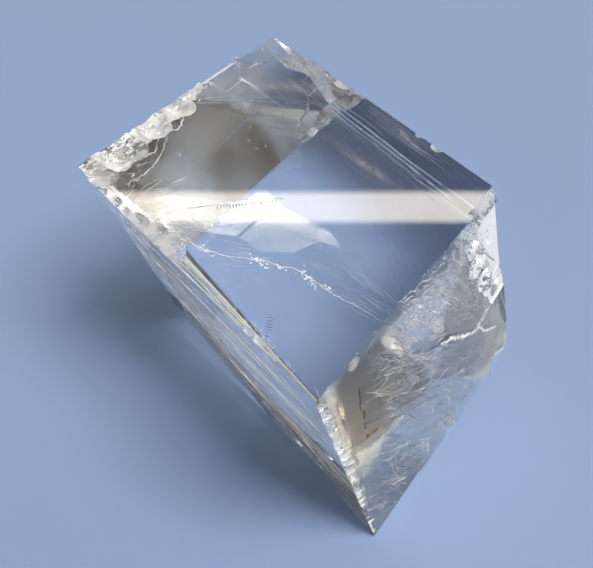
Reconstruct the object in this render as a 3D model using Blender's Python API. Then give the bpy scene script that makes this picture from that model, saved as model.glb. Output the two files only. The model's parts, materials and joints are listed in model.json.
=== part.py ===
"""Clear calcite cleavage crystal, lying on one of its cleavage faces.

Calcite splits along three sets of planes, so the crystal is a box in its own slanting lattice.
The script works in lattice millimetres: p, q and r run along the three cleavage edges that meet
at the front top corner. p goes right along the front edge, q goes back along the left edge and
r goes down to the base. lattice_matrix() turns them into metres, with the middle of the base
face at the origin, +X along p and +Z up.
"""

import math
import random

import bmesh
import bpy
from mathutils import Matrix, Vector, noise

MM = 0.001

# The cleavage form: the length of each edge in millimetres, and the blunt angle between edges.
LENGTH_P = 55.9
LENGTH_Q = 60.0
LENGTH_R = 48.5
BLUNT_ANGLE = math.radians(101.92)

# How far an outline runs past the edges of its face, and how far a slab stands proud of it.
BEFORE = -2.0
PAST_P = LENGTH_P + 2.0
PAST_Q = LENGTH_Q + 2.0
PAST_R = LENGTH_R + 2.0
PROUD = 1.6

# Each face: its lattice corner, the axes of its two edges, the axis that leads inwards, its sign.
P_AXIS, Q_AXIS, R_AXIS = 0, 1, 2
FACES = {
    "top": ((0, 0, 0), P_AXIS, Q_AXIS, R_AXIS, 1),
    "base": ((0, 0, LENGTH_R), P_AXIS, Q_AXIS, R_AXIS, -1),
    "front": ((0, 0, 0), P_AXIS, R_AXIS, Q_AXIS, 1),
    "rear": ((0, LENGTH_Q, 0), P_AXIS, R_AXIS, Q_AXIS, -1),
    "left": ((0, 0, 0), Q_AXIS, R_AXIS, P_AXIS, 1),
    "right": ((LENGTH_P, 0, 0), Q_AXIS, R_AXIS, P_AXIS, -1),
}

# Stepped left face. Sheets have split away towards its lower rear corner, so each step line
# leaves the rear edge lower down, and most of them gather at the front edge. Each entry is a
# step's line in (q, r) and the depth of its floor at the rear; the floor rises to nothing in front.
LEFT_STEPS = (
    (((PAST_Q, -3.5), (46.5, 7.4), (26.6, 23.3), (22.0, 24.6), (10.0, 24.0), (BEFORE, 24.6)), 0.5),
    (((PAST_Q, 3.4), (47.0, 13.6), (33.0, 24.4), (24.0, 26.4), (10.0, 25.6), (BEFORE, 25.6)), 1.0),
    (((PAST_Q, 7.6), (45.0, 19.6), (36.0, 25.6), (26.0, 28.6), (12.0, 27.6), (BEFORE, 27.4)), 1.5),
    (((PAST_Q, 13.2), (48.0, 22.6), (40.0, 27.4), (24.0, 30.4), (8.0, 29.8), (BEFORE, 30.2)), 2.1),
    (((PAST_Q, 26.0), (44.0, 33.0), (30.0, 36.6), (14.0, 36.2), (4.0, 33.4), (BEFORE, 33.0)), 2.6),
    (((PAST_Q, 34.5), (46.0, 40.0), (28.0, 43.5), (10.0, 43.0), (BEFORE, 41.0)), 3.2),
    (((PAST_Q, 41.5), (44.0, 45.5), (26.0, PAST_R)), 3.8),
)
SHEET_JAG = 0.35
LEFT_JAG_PITCH = 3.4

# Low steps on the top face near its rear right corner: outlines in (p, q) with their depths.
TOP_SHEETS = (
    (((43.6, PAST_Q), (43.9, 56.0), (50.9, 54.9), (51.2, 49.4), (PAST_P, 48.9), (PAST_P, PAST_Q)), 0.9),
    (((40.6, 49.1), (50.2, 49.0), (50.7, 55.2), (43.6, 55.9), (43.2, 58.2), (39.7, 55.2)), 0.35),
    (((34.3, 54.8), (42.7, 54.9), (42.7, PAST_Q), (34.0, PAST_Q)), 0.3),
)

# Shell-shaped (conchoidal) chips along the rear top edge: place along p, how far each reaches
# forward from the edge, and its depth. They shrink from the left corner to the middle.
REAR_EDGE_CHIPS = (
    (0.6, 7.8, 0.6),
    (4.9, 6.9, 0.45),
    (8.6, 7.6, 0.75),
    (12.8, 5.4, 0.4),
    (16.4, 6.2, 0.7),
    (20.7, 4.4, 0.4),
    (23.9, 5.2, 0.6),
    (27.8, 2.9, 0.35),
    (30.8, 2.1, 0.3),
    (33.0, 1.3, 0.25),
)
REAR_CHIP_WIDTH = 0.66

# Chips along the left top edge: place along q, reach across the top face, depth.
LEFT_EDGE_CHIPS = (
    (51.6, 1.1, 0.45),
    (48.6, 1.6, 0.5),
    (45.6, 1.4, 0.4),
    (42.6, 2.4, 0.5),
    (38.8, 3.2, 0.45),
    (34.8, 3.4, 0.35),
    (14.6, 1.1, 0.4),
    (12.4, 0.9, 0.35),
)

# Chips along the right top edge: place along q, reach across the top face, depth.
RIGHT_EDGE_CHIPS = (
    (41.6, 1.5, 0.6),
    (38.2, 1.9, 0.7),
    (35.0, 1.1, 0.5),
    (18.2, 0.9, 0.35),
    (14.0, 1.2, 0.45),
)

# Other chips: face, place along its two edges, reach, depth. The first four crowd the broken
# front right corner, and the rest lie on the edges behind and below.
OTHER_CHIPS = (
    ("front", 45.6, 7.4, 2.6, 0.9),
    ("front", 46.4, 12.6, 3.2, 1.0),
    ("front", 48.6, 18.4, 3.0, 0.8),
    ("front", 52.4, 24.6, 2.6, 0.5),
    ("front", 50.6, 48.2, 4.2, 0.8),
    ("front", 28.4, 48.5, 1.8, 0.35),
    ("left", 59.9, 30.5, 2.8, 0.6),
    ("rear", 52.6, 47.4, 5.2, 1.0),
    ("rear", 45.8, 48.3, 3.0, 0.6),
    ("rear", 10.5, 48.4, 1.4, 0.3),
    ("right", 59.6, 21.0, 3.4, 0.7),
    ("right", 59.9, 16.2, 2.2, 0.5),
    ("right", 33.0, 48.4, 3.2, 0.6),
    ("right", 11.0, 48.3, 2.6, 0.5),
)

# A shell-shaped chip's floor: cells across, how far it runs past its rim, the height of its lid,
# and its ripples as a share of its depth, with how many of them go across its reach.
SHELL_CELLS = 9
SHELL_MARGIN = 1.25
SHELL_LID = 3.0
SHELL_RIPPLE = 0.3
SHELL_RIPPLES_ACROSS = 1.7

# The broken front right corner: two flat facets on the front face, each an outline in (p, r).
# The bevel is deepest at the top edge; the facet below it deepens towards the right edge.
CORNER_BEVEL = ((46.4, BEFORE), (46.8, 1.4), (48.4, 3.5), (51.0, 3.9), (PAST_P, 3.0), (PAST_P, BEFORE))
BEVEL_DEPTH = 1.1
BEVEL_RISE = 0.28
CORNER_FACET = (
    (46.2, 4.6),
    (47.4, 9.3),
    (51.0, 14.6),
    (54.4, 19.1),
    (55.6, 23.4),
    (PAST_P, 23.8),
    (PAST_P, 3.0),
    (50.6, 3.4),
)
FACET_DEPTH = 0.1
FACET_SLOPE = 0.075

# Rippled basin on the front face. Its steps fan out from the left, and one bold ledge closes
# them below. Each entry is the upper line of a step in (p, r) and the depth of its floor.
BASIN_STEPS = (
    (((21.5, BEFORE), (23.0, 0.6), (26.8, 1.9), (30.8, 2.9), (35.2, 1.9), (41.0, 3.0)), 0.3),
    (((22.4, 3.4), (25.0, 4.4), (27.5, 6.1), (30.5, 6.2), (36.0, 5.0), (41.5, 5.6)), 0.6),
    (((21.6, 5.0), (25.3, 6.8), (29.2, 9.5), (33.0, 8.8), (38.0, 8.6), (43.0, 7.6)), 0.9),
    (((20.9, 7.0), (23.3, 8.2), (27.9, 11.2), (31.0, 12.6), (36.0, 11.6), (44.0, 10.4)), 1.15),
    (((21.8, 9.6), (25.0, 11.4), (28.6, 13.9), (32.0, 15.6), (38.0, 14.6), (45.0, 13.6)), 1.4),
)
BASIN_LEDGE = (
    (53.0, 21.0),
    (49.3, 27.6),
    (42.7, 29.6),
    (38.7, 26.6),
    (34.3, 22.1),
    (27.6, 18.6),
    (22.4, 14.1),
)
BASIN_RISE = 0.035
BASIN_JAG = 0.45
BASIN_JAG_PITCH = 1.5
LEDGE_JAG_PITCH = 2.2
LEDGE_SPACING = (0.07, -0.35)

# Low sheets missing from the foot of the front face: outline in (p, r) and depth.
FRONT_SHEETS = (
    (
        (
            (BEFORE, PAST_R),
            (BEFORE, 21.6),
            (2.6, 24.2),
            (6.7, 29.7),
            (12.0, 34.5),
            (16.8, 34.9),
            (20.9, 38.1),
            (31.0, PAST_R),
        ),
        0.25,
    ),
    (((BEFORE, PAST_R), (BEFORE, 31.4), (1.8, 33.0), (6.4, 37.7), (15.0, 46.2), (18.4, PAST_R)), 0.5),
    (((33.0, PAST_R), (39.0, 43.0), (46.0, 39.5), (52.0, 40.5), (PAST_P, 38.6), (PAST_P, PAST_R)), 0.3),
)

# Low sheets missing from the rear face, in (p, r), and from the right face, in (q, r).
REAR_SHEETS = (
    (((PAST_P, 33.0), (52.4, 33.6), (49.6, 38.4), (44.6, 41.0), (43.4, PAST_R), (PAST_P, PAST_R)), 0.2),
)
RIGHT_SHEETS = (
    (((BEFORE, PAST_R), (BEFORE, 36.0), (17.0, 35.0), (36.0, 37.4), (PAST_Q, 36.5), (PAST_Q, PAST_R)), 0.15),
    (((20.0, PAST_R), (24.0, 43.5), (40.0, 42.5), (PAST_Q, 43.4), (PAST_Q, PAST_R)), 0.3),
)
SHEET_JAG_PITCH = 3.6

# Ridged band of small flat flakes down the front left edge. Sizes are in millimetres, and each
# range is a share of them or, for a flake's tip and foot, of the pitch between flakes.
FLAKE_COUNT = 27
FLAKE_TOP = 1.6
FLAKE_BOTTOM = 46.6
FLAKE_REACH_TOP = 1.1
FLAKE_REACH_BOTTOM = 2.3
FLAKE_REACH_RANGE = (0.75, 1.15)
FLAKE_DEPTH = 0.55
FLAKE_DEPTH_RANGE = (0.6, 1.2)
FLAKE_FLOOR = 0.05
FLAKE_TILT = 0.25
FLAKE_OVERLAP = 0.5
FLAKE_SHOULDER = 0.2
FLAKE_TIP_RANGE = (0.4, 0.8)
FLAKE_FOOT_RANGE = (1.1, 1.4)

# Small rhombohedral nicks along an edge: the edge's axis, the lattice corner that it runs from,
# the stretch that the nicks take, and how many there are.
NICKED_EDGES = (
    (P_AXIS, (0, 0, LENGTH_R), (6.0, 53.0), 9),
    (P_AXIS, (0, LENGTH_Q, LENGTH_R), (4.0, 52.0), 9),
    (Q_AXIS, (LENGTH_P, 0, LENGTH_R), (4.0, 56.0), 9),
    (Q_AXIS, (0, 0, LENGTH_R), (5.0, 56.0), 8),
    (R_AXIS, (0, LENGTH_Q, 0), (6.0, 44.0), 8),
    (R_AXIS, (LENGTH_P, LENGTH_Q, 0), (4.0, 45.0), 8),
    (R_AXIS, (LENGTH_P, 0, 0), (29.0, 46.0), 4),
)
NICK_LENGTH = (0.8, 2.4)
NICK_DEPTH = (0.12, 0.45)

# Broken corners: the lattice corner and how far along each edge the break reaches.
BROKEN_CORNERS = (
    ((0, LENGTH_Q, 0), (0.9, 0.9, 0.9)),
    ((LENGTH_P, 0, LENGTH_R), (3.4, 1.0, 2.6)),
    ((LENGTH_P, LENGTH_Q, 0), (1.2, 1.6, 2.4)),
    ((0, 0, LENGTH_R), (0.8, 0.7, 1.2)),
    ((LENGTH_P, LENGTH_Q, LENGTH_R), (3.2, 4.0, 2.2)),
    ((0, LENGTH_Q, LENGTH_R), (1.8, 2.6, 1.4)),
)

LEFT_SEED = 11
BASIN_SEED = 23
FLAKE_SEED = 37
SHEET_SEED = 41
NICK_SEED = 53

CRYSTAL_COLOUR = (0.86, 0.87, 0.86, 1.0)
CRYSTAL_ROUGHNESS = 0.04
CALCITE_IOR = 1.6


def clear_scene():
    for obj in list(bpy.data.objects):
        bpy.data.objects.remove(obj, do_unlink=True)


def lattice_matrix():
    """The map from lattice millimetres to metres. p meets q and r at the sharp angle."""
    sharp = math.pi - BLUNT_ANGLE
    along_p = Vector((1, 0, 0))
    along_q = Vector((math.cos(sharp), math.sin(sharp), 0))
    r_x = math.cos(sharp)
    r_y = (math.cos(BLUNT_ANGLE) - r_x * along_q.x) / along_q.y
    along_r = Vector((r_x, r_y, -math.sqrt(1 - r_x**2 - r_y**2)))
    turn = Matrix((along_p, along_q, along_r)).transposed().to_4x4()
    base_middle = turn @ Vector((LENGTH_P / 2, LENGTH_Q / 2, LENGTH_R))
    return Matrix.Scale(MM, 4) @ Matrix.Translation(-base_middle) @ turn


LATTICE = lattice_matrix()


def face_point(face, along, across, depth):
    """A lattice point at two distances along a face's edges and a depth along the third edge."""
    corner, first, second, inward, sign = FACES[face]
    point = Vector(corner)
    point[first] += along
    point[second] += across
    point[inward] += sign * depth
    return point


def outward_normal(face):
    _, first, second, inward, sign = FACES[face]
    turn = LATTICE.to_3x3()
    normal = turn.col[first].cross(turn.col[second]).normalized()
    return -normal if normal.dot(turn.col[inward]) * sign > 0 else normal


def ragged(line, jag, pitch, rng):
    """The line with points added about every pitch, each pushed to one side by up to jag."""
    points = []
    for start, end in zip(line, line[1:]):
        stretch = Vector(end) - Vector(start)
        sideways = stretch.orthogonal().normalized()
        pieces = max(1, round(stretch.length / pitch))
        points.append(Vector(start))
        for k in range(1, pieces):
            push = sideways * rng.uniform(-jag, jag)
            points.append(Vector(start) + stretch * (k / pieces) + push)
    points.append(Vector(line[-1]))
    return points


def add_cutter(name, shape, cutters):
    """Turns a closed bmesh into a hidden object that the crystal is cut with."""
    bmesh.ops.recalc_face_normals(shape, faces=shape.faces)
    if shape.calc_volume(signed=True) < 0:
        bmesh.ops.reverse_faces(shape, faces=shape.faces)
    mesh = bpy.data.meshes.new(name)
    shape.to_mesh(mesh)
    shape.free()
    cutter = bpy.data.objects.new(name, mesh)
    cutter.hide_render = True
    cutter.display_type = "WIRE"
    cutters.objects.link(cutter)


def grown_vertices(shape):
    """Extrudes all the faces of a sheet and gives the new vertices."""
    grown = bmesh.ops.extrude_face_region(shape, geom=list(shape.faces))
    return [item for item in grown["geom"] if isinstance(item, bmesh.types.BMVert)]


def cut_sheet(name, face, outline, floor, cutters):
    """A slab with this outline on a face. floor(along, across) is its depth, a flat function."""
    slab = bmesh.new()
    slab.faces.new([slab.verts.new(face_point(face, x, y, -PROUD)) for x, y in outline])
    corner, first, second, _, _ = FACES[face]
    for vert in grown_vertices(slab):
        along, across = vert.co[first] - corner[first], vert.co[second] - corner[second]
        vert.co = face_point(face, along, across, floor(along, across))
    slab.transform(LATTICE)
    add_cutter(name, slab, cutters)


def cut_shell(name, face, along, across, reach, width, depth, cutters):
    """A shell-shaped chip: a dished, rippled floor that dips to its depth under one point."""
    shell = bmesh.new()
    bmesh.ops.create_grid(
        shell, x_segments=SHELL_CELLS, y_segments=SHELL_CELLS, size=reach * SHELL_MARGIN
    )
    for vert in shell.verts:
        place = vert.co / reach
        ripple = noise.noise(place * SHELL_RIPPLES_ACROSS + Vector((along, across, 0)))
        vert.co.z = depth * (place.length_squared - 1 + SHELL_RIPPLE * ripple)
    for vert in grown_vertices(shell):
        vert.co.z = SHELL_LID
    edge_way = LATTICE.to_3x3().col[FACES[face][1]].normalized()
    out = outward_normal(face)
    axes = Matrix((edge_way * width, out.cross(edge_way), out)).transposed().to_4x4()
    middle = LATTICE @ face_point(face, along, across, 0)
    shell.transform(Matrix.Translation(middle) @ axes @ Matrix.Scale(MM, 4))
    add_cutter(name, shell, cutters)


def cut_nick(name, middle, half, cutters):
    """A small rhombohedral bite, with its half sizes along the lattice."""
    nick = bmesh.new()
    bmesh.ops.create_cube(nick, size=2)
    nick.transform(LATTICE @ Matrix.Translation(middle) @ Matrix.Diagonal(half.to_4d()))
    add_cutter(name, nick, cutters)


def level(depth):
    """The floor of a sheet that is the same depth all over."""
    return lambda along, across: depth


def step_left_face(cutters):
    rng = random.Random(LEFT_SEED)
    for k, (line, depth) in enumerate(LEFT_STEPS):
        outline = ragged(line, SHEET_JAG, LEFT_JAG_PITCH, rng)
        if line[-1][0] == BEFORE:
            outline.append(Vector((BEFORE, PAST_R)))
        outline.append(Vector((PAST_Q, PAST_R)))

        def floor(q, r, deepest=depth):
            return deepest * q / LENGTH_Q

        cut_sheet(f"left_step_{k + 1}", "left", outline, floor, cutters)


def split_sheets(cutters):
    """The level sheets missing from the top, front, rear and right faces."""
    for k, (outline, depth) in enumerate(TOP_SHEETS):
        cut_sheet(f"top_sheet_{k + 1}", "top", outline, level(depth), cutters)
    rng = random.Random(SHEET_SEED)
    for face, sheets in (("front", FRONT_SHEETS), ("rear", REAR_SHEETS), ("right", RIGHT_SHEETS)):
        for k, (line, depth) in enumerate(sheets):
            outline = ragged(line, SHEET_JAG, SHEET_JAG_PITCH, rng)
            cut_sheet(f"{face}_sheet_{k + 1}", face, outline, level(depth), cutters)


def chip_edges(cutters):
    for k, (p, reach, depth) in enumerate(REAR_EDGE_CHIPS):
        name = f"rear_chip_{k + 1}"
        cut_shell(name, "top", p, LENGTH_Q, reach, REAR_CHIP_WIDTH, depth, cutters)
    for k, (q, reach, depth) in enumerate(LEFT_EDGE_CHIPS):
        cut_shell(f"left_chip_{k + 1}", "top", 0, q, reach, 1, depth, cutters)
    for k, (q, reach, depth) in enumerate(RIGHT_EDGE_CHIPS):
        cut_shell(f"right_chip_{k + 1}", "top", LENGTH_P, q, reach, 1, depth, cutters)
    for k, (face, along, across, reach, depth) in enumerate(OTHER_CHIPS):
        cut_shell(f"other_chip_{k + 1}", face, along, across, reach, 1, depth, cutters)


def break_front_corner(cutters):
    def bevel_floor(p, r):
        return BEVEL_DEPTH - BEVEL_RISE * r

    def facet_floor(p, r):
        return FACET_DEPTH + FACET_SLOPE * (p - CORNER_FACET[0][0])

    cut_sheet("corner_bevel", "front", CORNER_BEVEL, bevel_floor, cutters)
    cut_sheet("corner_facet", "front", CORNER_FACET, facet_floor, cutters)


def ripple_front_face(cutters):
    """The basin's steps lie one inside the other, and its floors rise towards the right."""
    rng = random.Random(BASIN_SEED)
    left_end = BASIN_LEDGE[-1][0]
    for k, (line, depth) in enumerate(BASIN_STEPS):
        step_line = ragged(line, BASIN_JAG, BASIN_JAG_PITCH, rng)
        shift = Vector(LEDGE_SPACING) * k
        ledge = [Vector(point) + shift for point in BASIN_LEDGE]
        outline = step_line + ragged(ledge, BASIN_JAG, LEDGE_JAG_PITCH, rng)

        def floor(p, r, deepest=depth):
            return deepest * (1 - BASIN_RISE * (p - left_end))

        cut_sheet(f"basin_step_{k + 1}", "front", outline, floor, cutters)


def flake_front_edge(cutters):
    """Each flake slopes from the edge to a tip on the front face, and is tilted its own way."""
    rng = random.Random(FLAKE_SEED)
    pitch = (FLAKE_BOTTOM - FLAKE_TOP) / FLAKE_COUNT
    for k in range(FLAKE_COUNT):
        start = FLAKE_TOP + pitch * k
        grown = (FLAKE_REACH_BOTTOM - FLAKE_REACH_TOP) * k / (FLAKE_COUNT - 1)
        reach = (FLAKE_REACH_TOP + grown) * rng.uniform(*FLAKE_REACH_RANGE)
        deepest = FLAKE_DEPTH * rng.uniform(*FLAKE_DEPTH_RANGE)
        tilt = rng.uniform(-FLAKE_TILT, FLAKE_TILT)
        outline = (
            (BEFORE / 2, start - FLAKE_OVERLAP),
            (reach / 2, start + rng.uniform(-FLAKE_SHOULDER, FLAKE_SHOULDER)),
            (reach, start + pitch * rng.uniform(*FLAKE_TIP_RANGE)),
            (reach / 2, start + pitch * rng.uniform(*FLAKE_FOOT_RANGE)),
            (BEFORE / 2, start + pitch),
        )

        def floor(p, r, deepest=deepest, tilt=tilt, reach=reach, start=start):
            return deepest * (1 - p / reach) + tilt * (r - start) + FLAKE_FLOOR

        cut_sheet(f"edge_flake_{k + 1}", "front", outline, floor, cutters)


def nick_edges(cutters):
    rng = random.Random(NICK_SEED)
    for e, (axis, start, (first, last), count) in enumerate(NICKED_EDGES):
        for k in range(count):
            middle = Vector(start)
            middle[axis] += first + (last - first) * (k + rng.random()) / count
            half = Vector([rng.uniform(*NICK_DEPTH) for _ in range(3)])
            half[axis] = rng.uniform(*NICK_LENGTH) / 2
            cut_nick(f"nick_{e + 1}_{k + 1}", middle, half, cutters)


def break_corners(body):
    """Cuts each broken corner off along the plane through its three reaches."""
    lengths = (LENGTH_P, LENGTH_Q, LENGTH_R)
    for corner, reaches in BROKEN_CORNERS:
        ends = []
        for axis in range(3):
            end = Vector(corner)
            end[axis] += reaches[axis] if corner[axis] < lengths[axis] / 2 else -reaches[axis]
            ends.append(LATTICE @ end)
        normal = (ends[1] - ends[0]).cross(ends[2] - ends[0]).normalized()
        if normal.dot(LATTICE @ Vector(corner) - ends[0]) < 0:
            normal = -normal
        geometry = list(body.verts) + list(body.edges) + list(body.faces)
        cut = bmesh.ops.bisect_plane(
            body, geom=geometry, plane_co=ends[0], plane_no=normal, clear_outer=True
        )
        rim = [item for item in cut["geom_cut"] if isinstance(item, bmesh.types.BMEdge)]
        bmesh.ops.edgeloop_fill(body, edges=rim)


def clear_calcite():
    material = bpy.data.materials.new("clear_calcite")
    material.use_nodes = True
    shader = material.node_tree.nodes["Principled BSDF"]
    shader.inputs["Base Color"].default_value = CRYSTAL_COLOUR
    shader.inputs["Roughness"].default_value = CRYSTAL_ROUGHNESS
    shader.inputs["Metallic"].default_value = 0.0
    shader.inputs["IOR"].default_value = CALCITE_IOR
    shader.inputs["Transmission Weight"].default_value = 1.0
    return material


def make_crystal(cutters):
    body = bmesh.new()
    bmesh.ops.create_cube(body, size=1)
    lengths = Vector((LENGTH_P, LENGTH_Q, LENGTH_R))
    body.transform(LATTICE @ Matrix.Translation(lengths / 2) @ Matrix.Diagonal(lengths.to_4d()))
    break_corners(body)
    bmesh.ops.recalc_face_normals(body, faces=body.faces)
    mesh = bpy.data.meshes.new("calcite_crystal")
    body.to_mesh(mesh)
    body.free()
    mesh.materials.append(clear_calcite())
    crystal = bpy.data.objects.new("calcite_crystal", mesh)
    bpy.context.scene.collection.objects.link(crystal)
    breaks = crystal.modifiers.new("breaks", "BOOLEAN")
    breaks.operation = "DIFFERENCE"
    breaks.solver = "EXACT"
    breaks.operand_type = "COLLECTION"
    breaks.collection = cutters


def main():
    clear_scene()
    cutters = bpy.data.collections.new("cutters")
    bpy.context.scene.collection.children.link(cutters)
    step_left_face(cutters)
    split_sheets(cutters)
    chip_edges(cutters)
    break_front_corner(cutters)
    ripple_front_face(cutters)
    flake_front_edge(cutters)
    nick_edges(cutters)
    make_crystal(cutters)


main()
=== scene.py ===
# %% [markdown]
# # A clear calcite cleavage crystal
#
# Calcite splits along three sets of planes, so a clear piece is a box with slanting corners.
# Every face is a mirror, and every break shows as a white shell, a step or a fine line. This
# lesson makes the finishes of the stone, cuts the finer breaks from the plain solid that was
# built in CAD, and puts the stone in a small studio. Lengths are in millimetres until the last
# moment, because a crystal that is held in the hand is easier to think about that way.

import json
import math
import random

import bmesh
import bpy
from mathutils import Matrix, Quaternion, Vector, noise
from mathutils.bvhtree import BVHTree

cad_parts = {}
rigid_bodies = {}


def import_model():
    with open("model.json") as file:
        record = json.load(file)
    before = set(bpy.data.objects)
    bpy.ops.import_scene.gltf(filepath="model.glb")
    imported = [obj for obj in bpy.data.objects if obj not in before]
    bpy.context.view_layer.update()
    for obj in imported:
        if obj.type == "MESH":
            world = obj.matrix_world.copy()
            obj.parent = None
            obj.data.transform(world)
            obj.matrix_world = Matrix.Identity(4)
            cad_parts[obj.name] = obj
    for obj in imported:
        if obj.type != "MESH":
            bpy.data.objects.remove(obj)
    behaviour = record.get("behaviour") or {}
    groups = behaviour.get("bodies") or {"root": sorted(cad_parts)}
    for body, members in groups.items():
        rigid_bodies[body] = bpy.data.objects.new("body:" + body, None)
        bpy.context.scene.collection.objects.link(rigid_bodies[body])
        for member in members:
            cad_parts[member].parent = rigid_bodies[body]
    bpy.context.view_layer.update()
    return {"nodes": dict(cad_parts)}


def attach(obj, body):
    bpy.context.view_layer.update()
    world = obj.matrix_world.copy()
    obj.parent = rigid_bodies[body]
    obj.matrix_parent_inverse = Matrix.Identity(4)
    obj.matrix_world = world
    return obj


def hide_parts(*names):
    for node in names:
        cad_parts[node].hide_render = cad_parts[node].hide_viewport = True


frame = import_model()
scene = bpy.context.scene
cad_crystal = frame["nodes"]["calcite_crystal"]
MM = 0.001

# %% [markdown]
# ## The crystal's own lattice
#
# The three cleavage edges of a corner make fixed angles, whatever the size of the piece. Working
# along those edges turns a cleavage step into an upright slab, so this lesson gives places as
# (p, q, r): p to the right along the front edge, q back along the left edge and r down to the
# base, all from the front top corner. One matrix turns them into metres. A rotated ordinary box
# would need every step to be tilted by hand, which is why the lattice was chosen.

# %% The lattice
LENGTH_P = 55.9
LENGTH_Q = 60.0
LENGTH_R = 48.5
BLUNT_ANGLE = math.radians(101.92)


def lattice_matrix():
    sharp = math.pi - BLUNT_ANGLE
    along_p = Vector((1, 0, 0))
    along_q = Vector((math.cos(sharp), math.sin(sharp), 0))
    r_x = math.cos(sharp)
    r_y = (math.cos(BLUNT_ANGLE) - r_x * along_q.x) / along_q.y
    along_r = Vector((r_x, r_y, -math.sqrt(1 - r_x**2 - r_y**2)))
    turn = Matrix((along_p, along_q, along_r)).transposed().to_4x4()
    base_middle = turn @ Vector((LENGTH_P / 2, LENGTH_Q / 2, LENGTH_R))
    return Matrix.Scale(MM, 4) @ Matrix.Translation(-base_middle) @ turn


LATTICE = lattice_matrix()
P_AXIS, Q_AXIS, R_AXIS = 0, 1, 2
FACES = {
    "top": ((0, 0, 0), P_AXIS, Q_AXIS, R_AXIS, 1),
    "front": ((0, 0, 0), P_AXIS, R_AXIS, Q_AXIS, 1),
    "rear": ((0, LENGTH_Q, 0), P_AXIS, R_AXIS, Q_AXIS, -1),
    "left": ((0, 0, 0), Q_AXIS, R_AXIS, P_AXIS, 1),
    "right": ((LENGTH_P, 0, 0), Q_AXIS, R_AXIS, P_AXIS, -1),
    "base": ((0, 0, LENGTH_R), P_AXIS, Q_AXIS, R_AXIS, -1),
}
print("front top corner in metres:", [round(value, 4) for value in LATTICE.translation])


def face_point(face, along, across, depth):
    """A lattice point at two distances along a face's edges and a depth along the third edge."""
    corner, first, second, inward, sign = FACES[face]
    point = Vector(corner)
    point[first] += along
    point[second] += across
    point[inward] += sign * depth
    return point


def edge_way(axis):
    """The direction of one of the three cleavage edges."""
    return LATTICE.to_3x3().col[axis].normalized()


def outward_normal(face):
    _, first, second, inward, sign = FACES[face]
    turn = LATTICE.to_3x3()
    normal = turn.col[first].cross(turn.col[second]).normalized()
    return -normal if normal.dot(turn.col[inward]) * sign > 0 else normal


# %% [markdown]
# ## The camera
#
# The camera looks down on the front top corner from close by, with a slightly long lens and a
# small tilt of the head. It comes first, so that every later step can be looked at from the
# right place. An aim point and a roll angle say this more plainly than three rotation angles.

# %% The camera
CAMERA_PLACE = Vector((-96.55, -41.50, 135.11))
CAMERA_AIM = Vector((-10.85, 7.67, 22.0))
CAMERA_ROLL = math.radians(7.76)
CAMERA_LENS = 47.46

camera_data = bpy.data.cameras.new("camera")
camera_data.lens = CAMERA_LENS
camera_data.clip_start = 0.005
camera = bpy.data.objects.new("camera", camera_data)
scene.collection.objects.link(camera)
gaze = (CAMERA_AIM - CAMERA_PLACE).to_track_quat("-Z", "Y")
turned = (gaze @ Quaternion((0, 0, 1), CAMERA_ROLL)).to_matrix().to_4x4()
camera.matrix_world = Matrix.Translation(CAMERA_PLACE * MM) @ turned
scene.camera = camera
print("camera distance in mm:", round((CAMERA_AIM - CAMERA_PLACE).length))

# %% [markdown]
# ## The finishes
#
# A fresh cleavage face is as flat and glossy as glass. The rear one is satin and the front one
# worn, so they blur what is seen in them. A break that doesn't follow the cleavage is
# shell-shaped and scatters light. A bruise, full of tiny cracks, is as white as crushed ice. All
# are the same clear stone with a refractive index of about 1.6, so each is a glass shader, and
# they differ in roughness, relief and how much light the surface itself sends back. The patterns
# read Object coordinates, so they stay on the stone.

# %% Helpers for shader nodes
CALCITE_IOR = 1.6
RELIEF_DISTANCE = 0.0002
NODE_STEP = 190


def add_node(owner, kind, column, row, **values):
    """A node at a place in the editor, with settings or input values given by name."""
    shader_node = owner.node_tree.nodes.new(kind)
    shader_node.location = (column * NODE_STEP, row * NODE_STEP)
    for name, value in values.items():
        socket = shader_node.inputs.get(name.replace("_", " ").title())
        if hasattr(shader_node, name):
            setattr(shader_node, name, value)
        else:
            socket.default_value = value
    return shader_node


def join(owner, source, target):
    owner.node_tree.links.new(source, target)


def map_range(owner, column, row, source, from_range, to_range):
    """Spreads a pattern's values from one range over another."""
    spread = add_node(owner, "ShaderNodeMapRange", column, row)
    names = ("From Min", "From Max", "To Min", "To Max")
    for name, value in zip(names, (*from_range, *to_range)):
        spread.inputs[name].default_value = value
    join(owner, source, spread.inputs["Value"])
    return spread.outputs["Result"]


def shader_of(material):
    return material.node_tree.nodes["Principled BSDF"]


def new_stone(name, tint):
    """A material with a clear calcite surface. Returns it, its shader and its Object coordinates."""
    material = bpy.data.materials.new(name)
    material.use_nodes = True
    shader = shader_of(material)
    shader.inputs["Base Color"].default_value = tint
    shader.inputs["IOR"].default_value = CALCITE_IOR
    shader.inputs["Transmission Weight"].default_value = 1.0
    place = add_node(material, "ShaderNodeTexCoord", -7, 0)
    return material, shader, place.outputs["Object"]


def add_noise(material, place, column, row, scale, detail):
    """A noise pattern that stays on the stone."""
    pattern = add_node(material, "ShaderNodeTexNoise", column, row, scale=scale, detail=detail)
    join(material, place, pattern.inputs["Vector"])
    return pattern.outputs["Fac"]


def add_relief(material, shader, pattern, strength):
    relief = add_node(material, "ShaderNodeBump", -2, -1)
    relief.inputs["Strength"].default_value = strength
    relief.inputs["Distance"].default_value = RELIEF_DISTANCE
    join(material, pattern, relief.inputs["Height"])
    join(material, relief.outputs["Normal"], shader.inputs["Normal"])


# %% The clear cleavage finish
CLEAR_TINT = (0.965, 0.968, 0.955, 1.0)
CLEAR_ROUGHNESS = (0.0, 0.03)
SMEAR_SCALE = 60.0
SMEAR_RANGE = (0.48, 0.78)
WAVE_SCALE = 35.0
WAVE_HEIGHT = 0.06


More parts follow.
